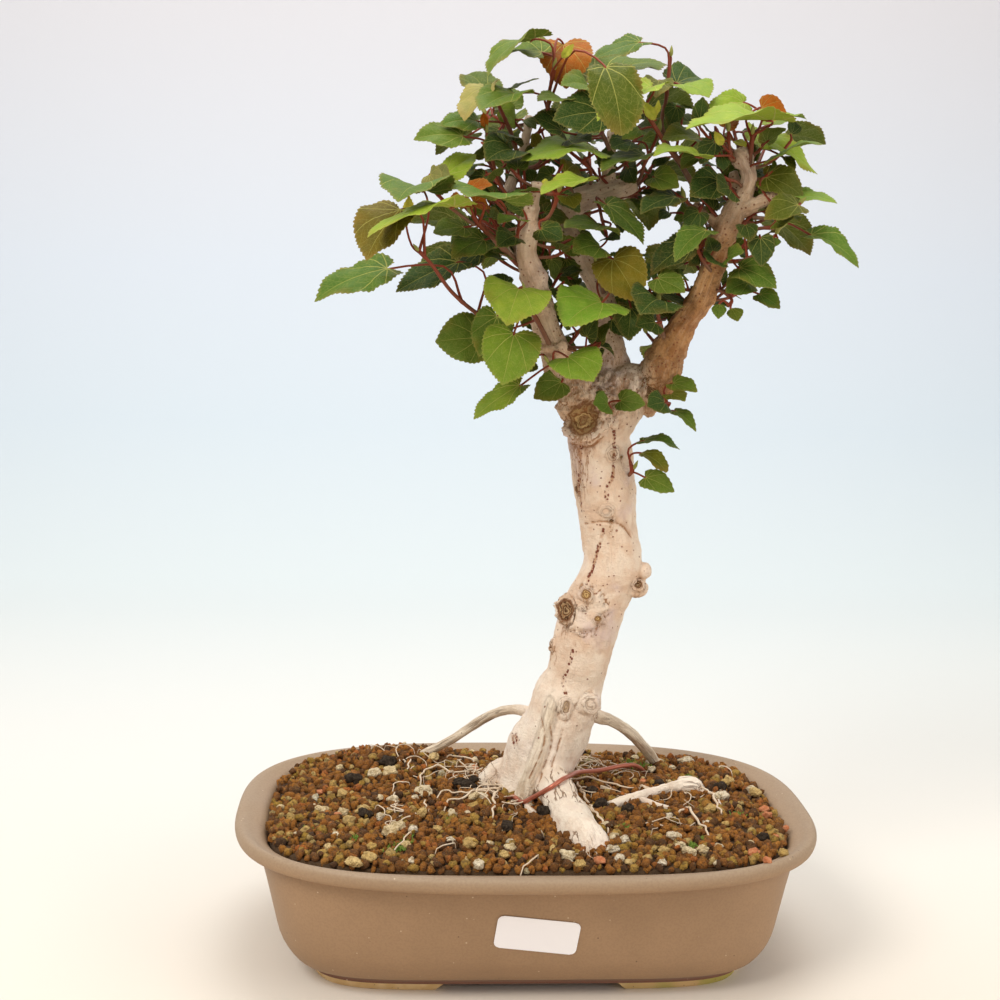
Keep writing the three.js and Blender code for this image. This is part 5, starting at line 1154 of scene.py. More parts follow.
def grain_grower():
    """Lumps of several shapes strewn over a bed, each with a shade of its own."""
    g = Grower("strewn_grains", **{
        "Spacing": "Float", "Most": "Float", "Least size": "Float", "Largest size": "Float", "Lumpy": "Float",
        "Lift": "Float", "Seed": "Int", "Finish": "Material"})
    seed = g.size("Seed")
    strewn = g.geometry("DistributePointsOnFaces", {
        "Mesh": g.form, "Distance Min": g.size("Spacing"), "Density Max": g.size("Most"),
        "Density Factor": g.named("open"), "Seed": seed}, distribute_method="POISSON")
    up = g.first("ShaderNodeCombineXYZ", {"Z": g.chance(0.0, g.size("Lift"), seed)})
    points = g.geometry("SetPosition", {"Geometry": strewn, "Offset": up})
    shapes = []
    for k in range(5):
        ball = g.geometry("MeshCube", {"Size": (2, 2, 2), "Vertices X": 3, "Vertices Y": 3, "Vertices Z": 3})
        out = g.vector("NORMALIZE", {0: g.geometry("InputPosition")})
        shifted = g.vector("ADD", {0: out, 1: (7.3 * k, 2.1 * k, 5.7)})
        lump = g.first("ShaderNodeTexNoise", {"Vector": shifted, "Scale": 1.9, "Detail": 2.0})
        reach = g.first("ShaderNodeMath", {0: lump, 1: g.size("Lumpy"), 2: -0.15}, operation="MULTIPLY_ADD")
        skin = g.vector("SCALE", {0: out, "Scale": reach})
        shapes.append(g.geometry("GeometryToInstance",
                                 {0: g.geometry("SetPosition", {"Geometry": ball, "Position": skin})}))
    turn = g.chance((0, 0, 0), (6.3, 6.3, 6.3), seed, "FLOAT_VECTOR")
    size = g.chance(g.size("Least size"), g.size("Largest size"), seed)
    spread = g.chance((0.8, 0.8, 0.7), (1.2, 1.2, 1.05), seed, "FLOAT_VECTOR")
    placed = g.geometry("InstanceOnPoints", {
        "Points": points, "Instance": g.geometry("JoinGeometry", {0: shapes}), "Pick Instance": True,
        "Instance Index": g.chance(0, 4, seed, "INT"), "Scale": g.vector("SCALE", {0: spread, "Scale": size}),
        "Rotation": g.first("FunctionNodeEulerToRotation", {0: turn})})
    later = g.first("ShaderNodeMath", {0: seed, 1: 31.0}, operation="ADD")
    shaded = g.geometry("StoreNamedAttribute",
                        {"Geometry": placed, "Name": "grain", "Value": g.chance(0.0, 1.0, later)},
                        data_type="FLOAT", domain="INSTANCE")
    g.end(g.geometry("SetShadeSmooth", {"Geometry": shaded}), g.size("Finish"))
    return g


def stem_grower():
    """Sweeps a round section along each line of the mesh and leaves its faces as they are."""
    g = Grower("swept_stems", Sides="Int", Finish="Material")
    thick = g.named("stem_radius")
    is_stem = g.first("FunctionNodeCompare", {0: thick, 1: 0.0}, data_type="FLOAT", operation="GREATER_THAN")
    line = g.geometry("MeshToCurve", {"Mesh": g.form, "Selection": is_stem})
    section = g.geometry("CurvePrimitiveCircle", {"Resolution": g.size("Sides"), "Radius": 1.0})
    swept = g.geometry("CurveToMesh",
                       {"Curve": line, "Profile Curve": section, "Scale": thick, "Fill Caps": True})
    swept = g.geometry("SetShadeSmooth", {"Geometry": swept})
    swept = g.geometry("SetMaterial", {"Geometry": swept, "Material": g.size("Finish")})
    blades = g.geometry("DeleteGeometry", {"Geometry": g.form, "Selection": is_stem})
    g.end(g.geometry("JoinGeometry", {0: [swept, blades]}))
    return g


# Soil

BED_SEGMENTS = 120
BED_FLOOR = 12.4
SOIL_LEVEL = 73  # where the wood leaves the soil


def soil_height(x, y, edge):
    """Height of the bed: its crown, the heap at the back and small waves, all lower at the edge."""
    away = np.hypot(x - HEAP["x"], y - HEAP["y"]) / HEAP["spread"]
    heap = HEAP["height"] * np.exp(-away * away) * (1 - 0.8 * edge ** 10)
    waves = 0.6 * np.sin(0.19 * x + 1.3 * np.sin(0.11 * y)) + 0.5 * np.cos(0.23 * y + np.sin(0.13 * x))
    return SOIL_EDGE + SOIL_CROWN * (1 - edge ** 3) + heap + waves * (1 - 0.7 * edge ** 6)


def share_out(x, y):
    """0 in the middle of the soil, 1 at its edge."""
    a, b = RIM_HALF - SOIL_RIM_INSET
    power = oval_power(SOIL_RIM_INSET)
    return (np.abs(x / a) ** power + np.abs(y / b) ** power) ** (1 / power)


def height_at(x, y):
    return soil_height(x, y, np.minimum(share_out(x, y), 1))


def soil_rings(count):
    """Rings of the bed's top from the pot's wall inwards, and the angles of their points."""
    angles = oval_angles(BED_SEGMENTS)
    rim = oval_ring(SOIL_RIM_INSET, angles)
    parts = np.linspace(1, 0, count, endpoint=False)
    rings = [np.column_stack([rim * part, soil_height(*(rim.T * part), part)]) for part in parts]
    return np.array(rings), angles


def make_bed():
    """Dark bed under the loose grains, down to the pot's floor: the soil's dust, with painted shade where it
    shows between the grains.
    """
    top, angles = soil_rings(30)
    rings = np.concatenate([rings_at([(44.5, BED_FLOOR), (27.5, 33), (18.5, 60)], angles), top])
    points, quads, caps = closed_rings(rings, [(0, 0, BED_FLOOR), (0, 0, soil_height(0.0, 0.0, 0.0))])
    mesh = new_mesh("soil_bed", points, [quads, caps], [plain_finish("soil_dust_and_shade")])
    finish_piece(mesh, "soil_bed", "clay_grains", "soil")


def strewn_ground(name, open_share):
    """Top of the bed as ground for grains. open_share says how freely they lie at each place."""
    rings, _ = soil_rings(44)
    centre = rings[..., 0].size
    points = np.vstack([rings.reshape(-1, 3), (0, 0, soil_height(0.0, 0.0, 0.0))])
    caps = fan_faces(np.arange(centre - BED_SEGMENTS, centre), centre)
    mesh = new_mesh(name, points, [grid_faces(len(rings), BED_SEGMENTS), caps])
    add_values(mesh, open=open_share(points[:, 0], points[:, 1]))
    return mesh


def free_of_wood(x, y):
    """1 on open soil, 0 where the trunk and the thick roots stand."""
    clear = np.ones(len(x))
    for _, _, points, radii in LIMBS:
        path = Path(points)
        t = np.linspace(0, 1, 24)
        for (cx, cy, cz), radius in zip(path.at(t), np.interp(t, np.linspace(0, 1, len(radii)), radii)):
            reach = radius * radius - (cz - SOIL_LEVEL) ** 2
            if reach > 9:
                clear[np.hypot(x - cx, y - cy) < math.sqrt(reach) - 1.5] = 0
    return clear


def near_spots(spots):
    """Share that fades out round each spot (x, y, radius)."""
    def share(x, y):
        found = np.zeros(len(x))
        for cx, cy, radius in spots:
            found = np.maximum(found, np.exp(-((x - cx) ** 2 + (y - cy) ** 2) / radius ** 2))
        return found * free_of_wood(x, y)
    return share


OCHRE_SPOTS = [(-100, -50, 34), (-30, -70, 46), (40, -74, 24), (-120, 0, 20), (0, 60, 40), (90, 10, 30)]


def make_grains(grower):
    grains = baked_clay()
    stones = pale_stone()
    # name, ground, spacing, most per square metre, least and largest size, how lumpy, lift, seed, finish
    layers = [
        ("soil_grains", free_of_wood, 0.0028, 170000, 0.0015, 0.0026, 2.45, 0.0016, 3, grains),
        ("soil_crumbs", free_of_wood, 0.0046, 42000, 0.0008, 0.0016, 2.45, 0.0036, 8, grains),
        ("ochre_grains", near_spots(OCHRE_SPOTS), 0.0085, 9000, 0.0016, 0.0026, 2.5, 0.0026, 5, stones),
    ]
    for name, share, spacing, most, least, largest, lumpy, lift, seed, finish in layers:
        mesh = grower.run(strewn_ground(name + "_bed", share), name, **{
            "Spacing": spacing, "Most": float(most), "Least size": least, "Largest size": largest,
            "Lumpy": lumpy, "Lift": lift, "Seed": seed, "Finish": finish})
        finish_piece(mesh, name, "clay_grains")


# Single stones that lie on the grains: kind, half sizes from and to, shades from and to, and where they lie
STONES = [
    ("cream_stones", (1.6, 3.5), (0.4, 0.85), [(-12, -72), (-58, -3), (-76, -1), (-31, -25), (-26, -3),
     (-39, -26), (-69, -4), (-99, 46), (-80, 32), (-41, -62), (-22, -3), (70, -58), (72, -67), (75, -76),
     (60, -86), (86, -85), (91, -66), (82, -73), (108, -62), (126, 20), (72, -31), (107, 6), (75, 48),
     (69, 72), (83, 68), (88, 54), (74, 58), (38, -44), (40, -58), (38, -72), (28, -19), (15, -80),
     (-106, -16), (-60, -84), (-28, -88), (98, 66)]),
    ("large_stones", (3.6, 4.8), (0.35, 0.6), [(-70, -51), (-66, -47), (-53, 6), (-71, 33)]),
    ("ochre_stones", (2.0, 3.4), (0.0, 0.3), [(-96, 5), (-79, -68), (-91, -35), (-80, -80), (-31, -65),
     (-27, -14), (-15, -79), (-87, -86), (-47, 54), (-85, -19), (-71, -22), (63, -71), (97, -14), (116, 33),
     (112, 26), (127, 15), (100, -38), (122, -72), (93, -56), (-112, -44), (-100, -66), (20, -88),
     (44, -86)]),
    ("charcoal_lumps", (3.0, 4.6), (0, 0), [(-34, 19), (-26, 22), (-73, 45), (-83, -27), (-91, 24), (36, 4),
     (39, -12), (8, -28), (38, 82), (-30, 14), (108, 18), (116, -53), (75, 21), (-12, -46), (52, -20)]),
    ("brick_chips", (1.6, 2.8), (0, 0), [(126, -11), (123, -51), (107, -73), (131, -38), (111, -84),
     (67, 25), (126, -20), (-108, 12), (-96, -22), (30, -84), (-24, 46)]),
]


def make_stones():
    """Lumps of every kind in STONES, each turned, sized and shaded by chance."""
    rng = np.random.default_rng(31)
    pale = pale_stone()
    finishes = {"charcoal_lumps": chipped("charcoal", (0.024, 0.016, 0.011), (0.075, 0.054, 0.036)),
                "brick_chips": chipped("brick_chips", (0.52, 0.17, 0.07), (0.66, 0.30, 0.15))}
    for name, (least, largest), shades, places in STONES:
        parts, shade = [], []
        for x, y in places:
            points, quads, caps = burl_form((0, 0, 0), (1, 1, 1))
            seed = rng.integers(1, 99)
            points *= (1 + 0.34 * wave(points, 0.8, seed) + 0.14 * wave(points, 0.3, seed + 1))[:, None]
            turn = rng.uniform(0, 2 * math.pi)
            c, s = math.cos(turn), math.sin(turn)
            half = rng.uniform(least, largest)
            size = half * np.array([rng.uniform(0.95, 1.3), rng.uniform(0.75, 1.0), 0.72])
            points = points * size @ np.array([[c, s, 0], [-s, c, 0], [0, 0, 1]])
            foot = height_at(x, y) + 2.2 + 0.35 * size[2]
            parts.append((points + (x, y, foot), quads, caps))
            shade.append(np.full(len(points), rng.uniform(*shades)))
        points, quads, caps = joined(parts)
        mesh = new_mesh(name, points, [quads, caps], [finishes.get(name, pale)])
        add_values(mesh, grain=np.concatenate(shade))
        finish_piece(mesh, name, "clay_grains")


def line_mesh(name, lines, material, sides, grower):
    """Swept stems along lines. A line is its points, its radius at each and its age at each."""
    points, edges, radii, ages = [], [], [], []
    for line, radius, age in lines:
        first = len(radii)
        points.extend(line)
        edges.extend((first + i, first + i + 1) for i in range(len(line) - 1))
        radii.extend(np.broadcast_to(radius, len(line)))
        ages.extend(np.broadcast_to(age, len(line)))
    mesh = bpy.data.meshes.new(name)
    mesh.from_pydata(in_frame(points).tolist(), edges, [])
    add_values(mesh, stem_radius=np.array(radii) * MM, age=ages)
    return grower.run(mesh, name, Sides=sides, Finish=material)


ROOT_LIFT = 4.0  # from the bed to the tops of the grains


def root_line(rng, x, y, heading, length):
    """Fine root that wanders over the soil and dips between the grains here and there."""
    steps = max(6, int(length / 1.5))
    phase, bend = rng.uniform(0, 6), 0.0
    spots = []
    for i in range(steps):
        dip = 1.9 * math.sin(0.24 * i + phase) - (4.0 if i == steps - 1 else 0)
        spots.append((x, y, height_at(x, y) + ROOT_LIFT - 0.6 + dip))
        bend = 0.75 * bend + rng.normal(0, 0.16)
        heading += bend
        if share_out(x + 3 * math.cos(heading), y + 3 * math.sin(heading)) > 0.94:
            break
        x += 1.5 * math.cos(heading)
        y += 1.5 * math.sin(heading)
    return np.array(spots)


# Roots that lie on the grains in plain sight: radius and places as (x, y)
LAID_ROOTS = [
    (0.5, [(-55, 20), (-54, 27), (-51, 35), (-43, 42), (-37, 37), (-28, 37), (-24, 31)]),
    (0.5, [(-43, -16), (-39, -8), (-33, -6), (-27, 1), (-20, 5), (-13, 4)]),
    (0.4, [(-47, -2), (-41, 8), (-36, 3), (-30, 0), (-23, 7), (-14, 8)]),
    (0.6, [(-10, 17), (-16, -1), (-17, -19), (-19, -33)]),
    (0.45, [(-60, 49), (-61, 40), (-62, 33)]),
    (0.5, [(-24, 50), (-28, 58), (-35, 63), (-40, 61)]),
    (0.3, [(-70, 6), (-67, 18), (-60, 19)]),
    (0.4, [(-60, -54), (-63, -61), (-65, -65), (-69, -74)]),
    (0.3, [(-38, -66), (-44, -70), (-49, -74)]),
    (0.4, [(1, -80), (-3, -87), (-8, -91)]),
    (0.3, [(-79, -15), (-75, -17), (-73, -27), (-70, -33)]),
    (0.4, [(-69, 4), (-68, -9), (-68, -24)]),
    (0.4, [(-53, -8), (-52, -25)]),
    (0.5, [(18, 38), (23, 31), (29, 26), (37, 25), (45, 22), (51, 18), (56, 14), (63, 17)]),
    (0.55, [(63, 17), (68, 9), (74, 15), (81, 20)]),
    (0.6, [(30, 24), (31, 4), (33, -13), (34, -25)]),
    (0.6, [(24, 9), (30, -11), (35, -32), (39, -49)]),
    (0.6, [(96, 17), (99, 12), (101, 5), (101, -6), (101, -16), (101, -27)]),
    (0.6, [(76, -28), (80, -25), (83, -20), (85, -27), (87, -40), (88, -50), (87, -59)]),
    (0.35, [(112, 48), (116, 54), (119, 56), (122, 50)]),
    (0.45, [(26, 60), (30, 65), (37, 62), (42, 56), (50, 58), (58, 53)]),
    (0.4, [(14, 44), (19, 50), (22, 56), (28, 56)]),
    (0.4, [(28, 56), (34, 68), (42, 69)]),
    (0.45, [(63, 15), (67, 12), (70, 10), (76, 16), (84, 19)]),
]


def laid_root(radius, places):
    path = Path([(x, y, 0) for x, y in places])
    t = np.linspace(0, 1, max(8, int(path.length / 1.2)))
    line = path.at(t)
    run = t * path.length
    line[:, 0] += 0.5 * np.sin(run * 0.7)
    line[:, 1] += 0.5 * np.cos(run * 0.55)
    sunk = 4.5 * np.abs(2 * t - 1) ** 14 - 0.5 * np.sin(run * 0.35)
    line[:, 2] = height_at(line[:, 0], line[:, 1]) + ROOT_LIFT - sunk
    return line, 1.15 * radius * np.interp(t, [0, 0.5, 1], [0.8, 1.0, 0.7]), 0.0


# Where fine roots start, where they head in degrees, how wide they fan, how long and how many
ROOT_FANS = [
    ((-12, 10), 195, 40, (30, 60), 12), ((-22, 38), 200, 60, (24, 48), 8), ((-4, -8), 230, 30, (18, 34), 4),
    ((38, 6), 330, 40, (20, 40), 4), ((34, 50), 20, 50, (25, 50), 12), ((84, 8), 300, 50, (18, 34), 3),
    ((28, -66), 260, 50, (10, 22), 3), ((-60, -30), 150, 90, (16, 34), 5), ((60, -40), 20, 70, (14, 26), 3),
    ((30, 80), 90, 90, (20, 40), 6), ((-60, 50), 120, 90, (20, 40), 4),
]


def make_fine_roots(grower):
    rng = np.random.default_rng(7)
    lines = [laid_root(*root) for root in LAID_ROOTS]
    for (x, y), heading, fan, (least, most), count in ROOT_FANS:
        for _ in range(count):
            way = math.radians(heading + rng.uniform(-fan, fan))
            spot = root_line(rng, x + rng.normal(0, 3), y + rng.normal(0, 4), way, rng.uniform(least, most))
            thick = rng.uniform(0.26, 0.5)
            lines.append((spot, np.linspace(thick, 0.45 * thick, len(spot)), 0.0))
            if rng.random() < 0.6:
                fork = spot[len(spot) // 2]
                side = root_line(rng, fork[0], fork[1], way + rng.choice([-0.8, 0.8]), rng.uniform(8, 18))
                lines.append((side, np.linspace(0.6 * thick, 0.3 * thick, len(side)), 0.0))
    mesh = line_mesh("fine_roots", lines, plain_finish("fine_root_skin"), 5, grower)
    finish_piece(mesh, "fine_roots", "bark")


MOSS_SPOTS = [(-66, -66, 5), (-62, -60, 3), (48, -40, 3), (78, -66, 3), (66, 62, 7), (72, 54, 5), (96, 40, 4),
              (-88, -58, 2.5), (-112, -38, 3), (18, -52, 2.5), (86, -58, 3), (-40, -30, 2.5), (110, -20, 2.5)]


def make_moss(grower):
    """Tufts of short green shoots between the grains."""
    rng = np.random.default_rng(21)
    lines = []
    for cx, cy, radius in MOSS_SPOTS:
        for _ in range(int(11 * radius)):
            x, y = rng.normal(cx, radius / 2), rng.normal(cy, radius / 2)
            foot = height_at(x, y) + 1.4
            lean = rng.normal(0, 0.9, 2)
            tall = rng.uniform(1.0, 2.4)
            tip = (x + lean[0], y + lean[1], foot + tall)
            middle = (x + 0.3 * lean[0], y + 0.3 * lean[1], foot + 0.55 * tall)
            lines.append((np.array([(x, y, foot), middle, tip]), (0.34, 0.3, 0.08), 0.0))
    mesh = line_mesh("moss_tufts", lines, plain_finish("moss"), 4, grower)
    finish_piece(mesh, "moss_tufts", "clay_grains")


# Wood

# How brown each kind of wood is (below 0 is whiter) and how fibrous
SKIN_OF = {"trunk": (0.0, 0.0), "left": (0.34, 0.2), "middle": (0.36, 0.25), "right": (1.0, 0.4),
           "root": (-0.3, 0.12), "ridge": (0.08, 1.0), "bowed": (0.14, 0.75), "rootlet": (-0.08, 0.3)}
# Heights between which the right bough's foot is slimmer, and how much
SLIM_FOOT = {"heights": (285, 350), "shares": (0.8, 1)}
VOXEL = 0.00094  # of the fused skin, in metres
THINNEST_FUSED = 2.2  # limbs that get thinner than this keep their own skin
WIDE_SCAR = 6  # scars from this radius up reach further upwards
FAR = 9.0  # what a place away from every scar, crack and fold carries

# Scars on the front, where twigs were pruned: x, height, radius, how tall for its width, and how filled its
# middle is, from bare (0) over ochre (0.5) to dark and hollow (1)
SCARS = [
    (25.5, 275, 11.0, 1.05, 0.67), (42, 259, 3.1, 1, 0.2), (47, 257, 1.1, 1, 0.6), (25, 239, 2.2, 1.2, 0.85),
    (39, 229, 3.2, 0.8, 0.1), (42, 224, 1.7, 0.8, 0.9), (30.5, 184.5, 2.9, 1, 0.55), (20, 176, 3.9, 1.7, 0.9),
    (36, 172.5, 2.1, 1, 0.5), (29, 178, 1.7, 1, 0.1), (15, 154, 2.4, 1.3, 0.9), (60, 291, 5.0, 1.1, 0.75),
    (34, 125, 4.2, 1.0, 0.15), (38, 117, 2.4, 0.8, 0.6), (21, 124, 3.0, 1.5, 0.3), (58, 189, 2.6, 1, 0.9),
]
# Swollen collar round the knot half way up: centre and half sizes on the front
COLLAR = (28.0, 176.0, 12.5, 11.5)
# Rows of pores that run down the front, as (x, height) of their points
PORE_ROWS = [
    [(24.5, 263), (25, 257), (25, 250), (25, 242), (27, 233), (27.5, 227)],
    [(41.5, 271), (42, 267), (42, 254), (42, 248), (39, 241), (39, 235)],
    [(38, 219), (37, 213), (36, 207), (34.5, 201), (33, 195), (31, 190)],
    [(25, 158), (24, 154), (22.5, 147), (20, 136), (21, 131)],
    [(-6, 107), (-5, 100)], [(-4, 110), (-3.5, 102)], [(-5, 105), (-2.5, 104)],
]
# Folds of the skin, as (x, height)
FOLDS = [
    [(27, 220), (34, 222.7), (41, 223.4), (49, 220.5), (54, 215)],
    [(18, 264), (24, 262), (31, 263), (36, 268)], [(17, 268), (25, 265), (33, 268), (36, 276)],
    [(8, 118), (10, 108), (7, 98), (2, 88)], [(13, 116), (14, 106), (11, 96), (7, 86)],
    [(20, 112), (17, 102), (14, 93)],
]


def limb_rows(points, radii, knobbly, step):
    """Rings round a limb, with its knobbly skin, and the line they stand on."""
    path = Path(points)
    t = np.linspace(0, 1, max(3, round(path.length / step) + 1))
    centres = path.at(t)
    tangents = path.tangents(t)
    radius = np.interp(t * (len(radii) - 1), np.arange(len(radii)), radii)
    sides = max(10, int(2 * math.pi * max(radii) / 1.4))
    angle = 2 * np.pi * np.arange(sides) / sides
    run = (t * path.length)[:, None]
    skin = 1 + knobbly * (np.sin(3 * angle + run * 0.09) + 0.7 * np.sin(2 * angle - run * 0.16 + 1))
    across, other, ring = rings_round(tangents, angle)
    rows = centres[:, None] + (radius[:, None] * skin)[:, :, None] * ring
    return rows, (centres, tangents, across, other, radius, run[:, 0])


def closed_rows(rows):
    """Points and faces of rings with a shallow dome at each end."""
    return closed_rings(rows, [a.mean(0) * 1.3 - b.mean(0) * 0.3 for a, b in (rows[:2], rows[:-3:-1])])


def joined(parts):
    """One set of points, quads and triangles out of several."""
    points, quads, triangles = [], [], []
    first = 0
    for p, q, t in parts:
        points.append(p)
        quads.append(q + first)
        triangles.append(t + first)
        first += len(p)
    return np.vstack(points), np.vstack(quads), np.vstack(triangles)


def burl_form(centre, size):
    """Round lump with its centre and its half sizes."""
    turns = np.linspace(0, math.pi, 14)[1:-1]
    angle = 2 * np.pi * np.arange(20) / 20
    rows = np.array([[(math.sin(t) * math.cos(a), math.sin(t) * math.sin(a), -math.cos(t)) for a in angle]
                     for t in turns])
    return closed_rows(rows * np.asarray(size) + np.asarray(centre))


def fuse(parts):
    """Joins overlapping closed forms into one skin."""
    points, quads, triangles = joined(parts)
    host = object_of(new_mesh("wood_rough", points, [quads, triangles]), "wood_rough")
    work = host.modifiers.new("skin", "REMESH")
    work.mode = "VOXEL"
    work.voxel_size = VOXEL
    work.use_smooth_shade = True
    soften = host.modifiers.new("soften", "SMOOTH")
    soften.factor = 0.5
    soften.iterations = 4
    graph = bpy.context.evaluated_depsgraph_get()
    mesh = bpy.data.meshes.new_from_object(host.evaluated_get(graph))
    bpy.data.objects.remove(host)
    return mesh


def read_points(mesh, field):
    """The points' places in metres ("co") or their directions outwards ("normal")."""
    found = np.zeros(len(mesh.vertices) * 3)
    mesh.vertices.foreach_get(field, found)
    return found.reshape(-1, 3)


def lift_skin(mesh, spots, lift):
    """Moves each point of a mesh outwards by its lift."""
    spots = spots + read_points(mesh, "normal") * lift[:, None]
    mesh.vertices.foreach_set("co", in_frame(spots).ravel())
    mesh.update()


class Grain:
    """Lines inside the limbs, which say how the wood runs at any place on its skin."""

    def __init__(self, lines, skins):
        stacked = (np.vstack([line[i] for line in lines]) for i in range(4))
        self.centre, self.along, self.across, self.other = stacked
        self.radius = np.concatenate([line[4] for line in lines])
        self.run = np.concatenate([line[5] + 70.0 * k for k, line in enumerate(lines)])
        self.skin = np.vstack([np.tile(skin, (len(line[4]), 1)) for line, skin in zip(lines, skins)])

    def read(self, spots):
        """Place of each spot in its limb's grain, its kind of wood and its limb's radius."""
        places, skins, radii = [], [], []
        chunk = 3000  # spots at a time, to spare memory
        for i in range(0, len(spots), chunk):
            part = spots[i:i + chunk]
            gap = np.linalg.norm(part[:, None] - self.centre[None], axis=2) / self.radius[None]
            best = gap.argmin(1)
            weight = np.exp(-9.0 * (gap - gap.min(1)[:, None]))
            skins.append(weight @ self.skin / weight.sum(1)[:, None])
            off = part - self.centre[best]
            places.append(np.stack([(off * self.across[best]).sum(1), (off * self.other[best]).sum(1),
                                    self.run[best] + (off * self.along[best]).sum(1)], 1))
            radii.append(self.radius[best])
        return np.vstack(places), np.vstack(skins), np.concatenate(radii)


def wave(spots, scale, seed):
    """Smooth random relief, about -1 to 1, with lumps of the given size."""
    shift = Vector((seed * 13.7, seed * 5.1, -seed * 9.3))
    return np.array([noise.noise(Vector(p) + shift) for p in (spots / np.asarray(scale)).tolist()]) * 1.6


def front_hits(tree, spots):
    """Points of the bark seen from the front at each (x, height)."""
    found = []
    for x, z in spots:
        start = Vector(in_frame((x, -140, z)))
        at = tree.ray_cast(start, Vector((0, 1, 0)))[0]
        if at is not None:
            found.append((np.array(at) - POT_MIDDLE) / MM)
    return np.array(found)


def line_distance(spots, line):
    """Distance of each place from a line of points."""
    found = np.full(len(spots), 1e9)
    for a, b in zip(line[:-1], line[1:]):
        way = b - a
        share = np.clip(((spots - a) @ way) / (way @ way), 0, 1)
        found = np.minimum(found, np.linalg.norm(spots - a - share[:, None] * way, axis=1))
    return found


def distance_from_rows(spots, rows, tree):
    """Distance of each place from the nearest of several lines drawn on the front of the bark."""
    found = np.full(len(spots), FAR)
    for row in rows:
        path = Path([(x, 0, z) for x, z in row])
        line = path.at(np.linspace(0, 1, int(path.length / 2.0) + 1))[:, [0, 2]]
        found = np.minimum(found, line_distance(spots, front_hits(tree, line)))
    return found


def wood_relief(spots, place, brown, fibrous, radius):
    """Lumps, hoops round brown wood and fibres along old wood, all smaller on thin limbs."""
    much = np.clip(radius / 9, 0.3, 1)
    lift = 0.8 * much * wave(spots, 15, 1) + 0.4 * much * wave(spots, (7, 7, 12), 2)
    lift += 0.16 * wave(place, (3.2, 3.2, 7), 3) + 0.22 * wave(spots, 2.8, 4)
    hoops = 1 - np.abs(wave(place + 1.2 * wave(spots, 5, 11)[:, None], (7, 7, 1.9), 5))
    fibres = 1 - np.abs(wave(place, (1.5, 1.5, 16), 12))
    hooped = np.clip(brown, 0, 1)
    lift += much * (0.75 * hooped * hoops ** 2 + 0.8 * fibrous * (1 - hooped) * fibres ** 2)
    lift += 0.35 * much * fibrous * wave(spots, 1.6, 13)
    return lift + (1.0 * hooped + 0.15) * much * np.clip(wave(place, (7, 7, 5), 15), 0, 1) ** 1.4


def scar_relief(spots, tree, ragged):
    """Lift of every scar with its rim, pit and rings, how near the nearest one is, how filled that one is,
    and how strong the dark run below it is."""
    lift, filled, drip = np.zeros((3, len(spots)))
    near = np.full(len(spots), FAR)
    hits = front_hits(tree, [scar[:2] for scar in SCARS])
    for (_, _, size, tall, fill), at in zip(SCARS, hits):
        gap = np.linalg.norm((spots - at) * (1, 1, 1 / tall), axis=1) / size * ragged
        if size > WIDE_SCAR:
            gap = np.maximum(gap - 0.28 * (spots - at)[:, 2] / size, 0)
        filled = np.where(gap < near, fill, filled)
        near = np.minimum(near, gap)
        rim = np.exp(-((gap - 0.95) / 0.27) ** 2) - 0.45 * np.exp(-((gap - 1.5) / 0.2) ** 2)
        pit = np.exp(-(gap / 0.5) ** 2) * (1.2 * fill - 0.5)
        lift += min(size * 0.5, 2.4) * (rim - pit)
        lift += 0.07 * size * np.sin(15 * gap) * np.clip(1.3 - gap, 0, 0.5)
        x, y, z = (spots - at).T
        below = np.clip(1 + z / (5.5 * size), 0, 1) * (z < 0) * (y < size + 2)
        drip = np.maximum(drip, fill * np.exp(-(x / (0.5 * size)) ** 2) * below)
    return lift, near, filled, drip


def make_surface_roots(forms, grain, skin):
    """Roots that are too thin for the fused skin, with their own low relief."""
    spots, quads, triangles = joined(forms)
    mesh = new_mesh("surface_roots", spots, [quads, triangles], [skin])
    place, skin_kind, _ = grain.read(spots)
    lift_skin(mesh, spots, 0.22 * wave(spots, 7, 6) + 0.12 * wave(place, (1.5, 1.5, 5), 7))
    away = np.full(len(spots), FAR)
    add_values(mesh, wood_place=place * MM, brown=skin_kind[:, 0], fibrous=skin_kind[:, 1],
               scar=away, crack=away, fold=away)
    finish_piece(mesh, "surface_roots", "bark")


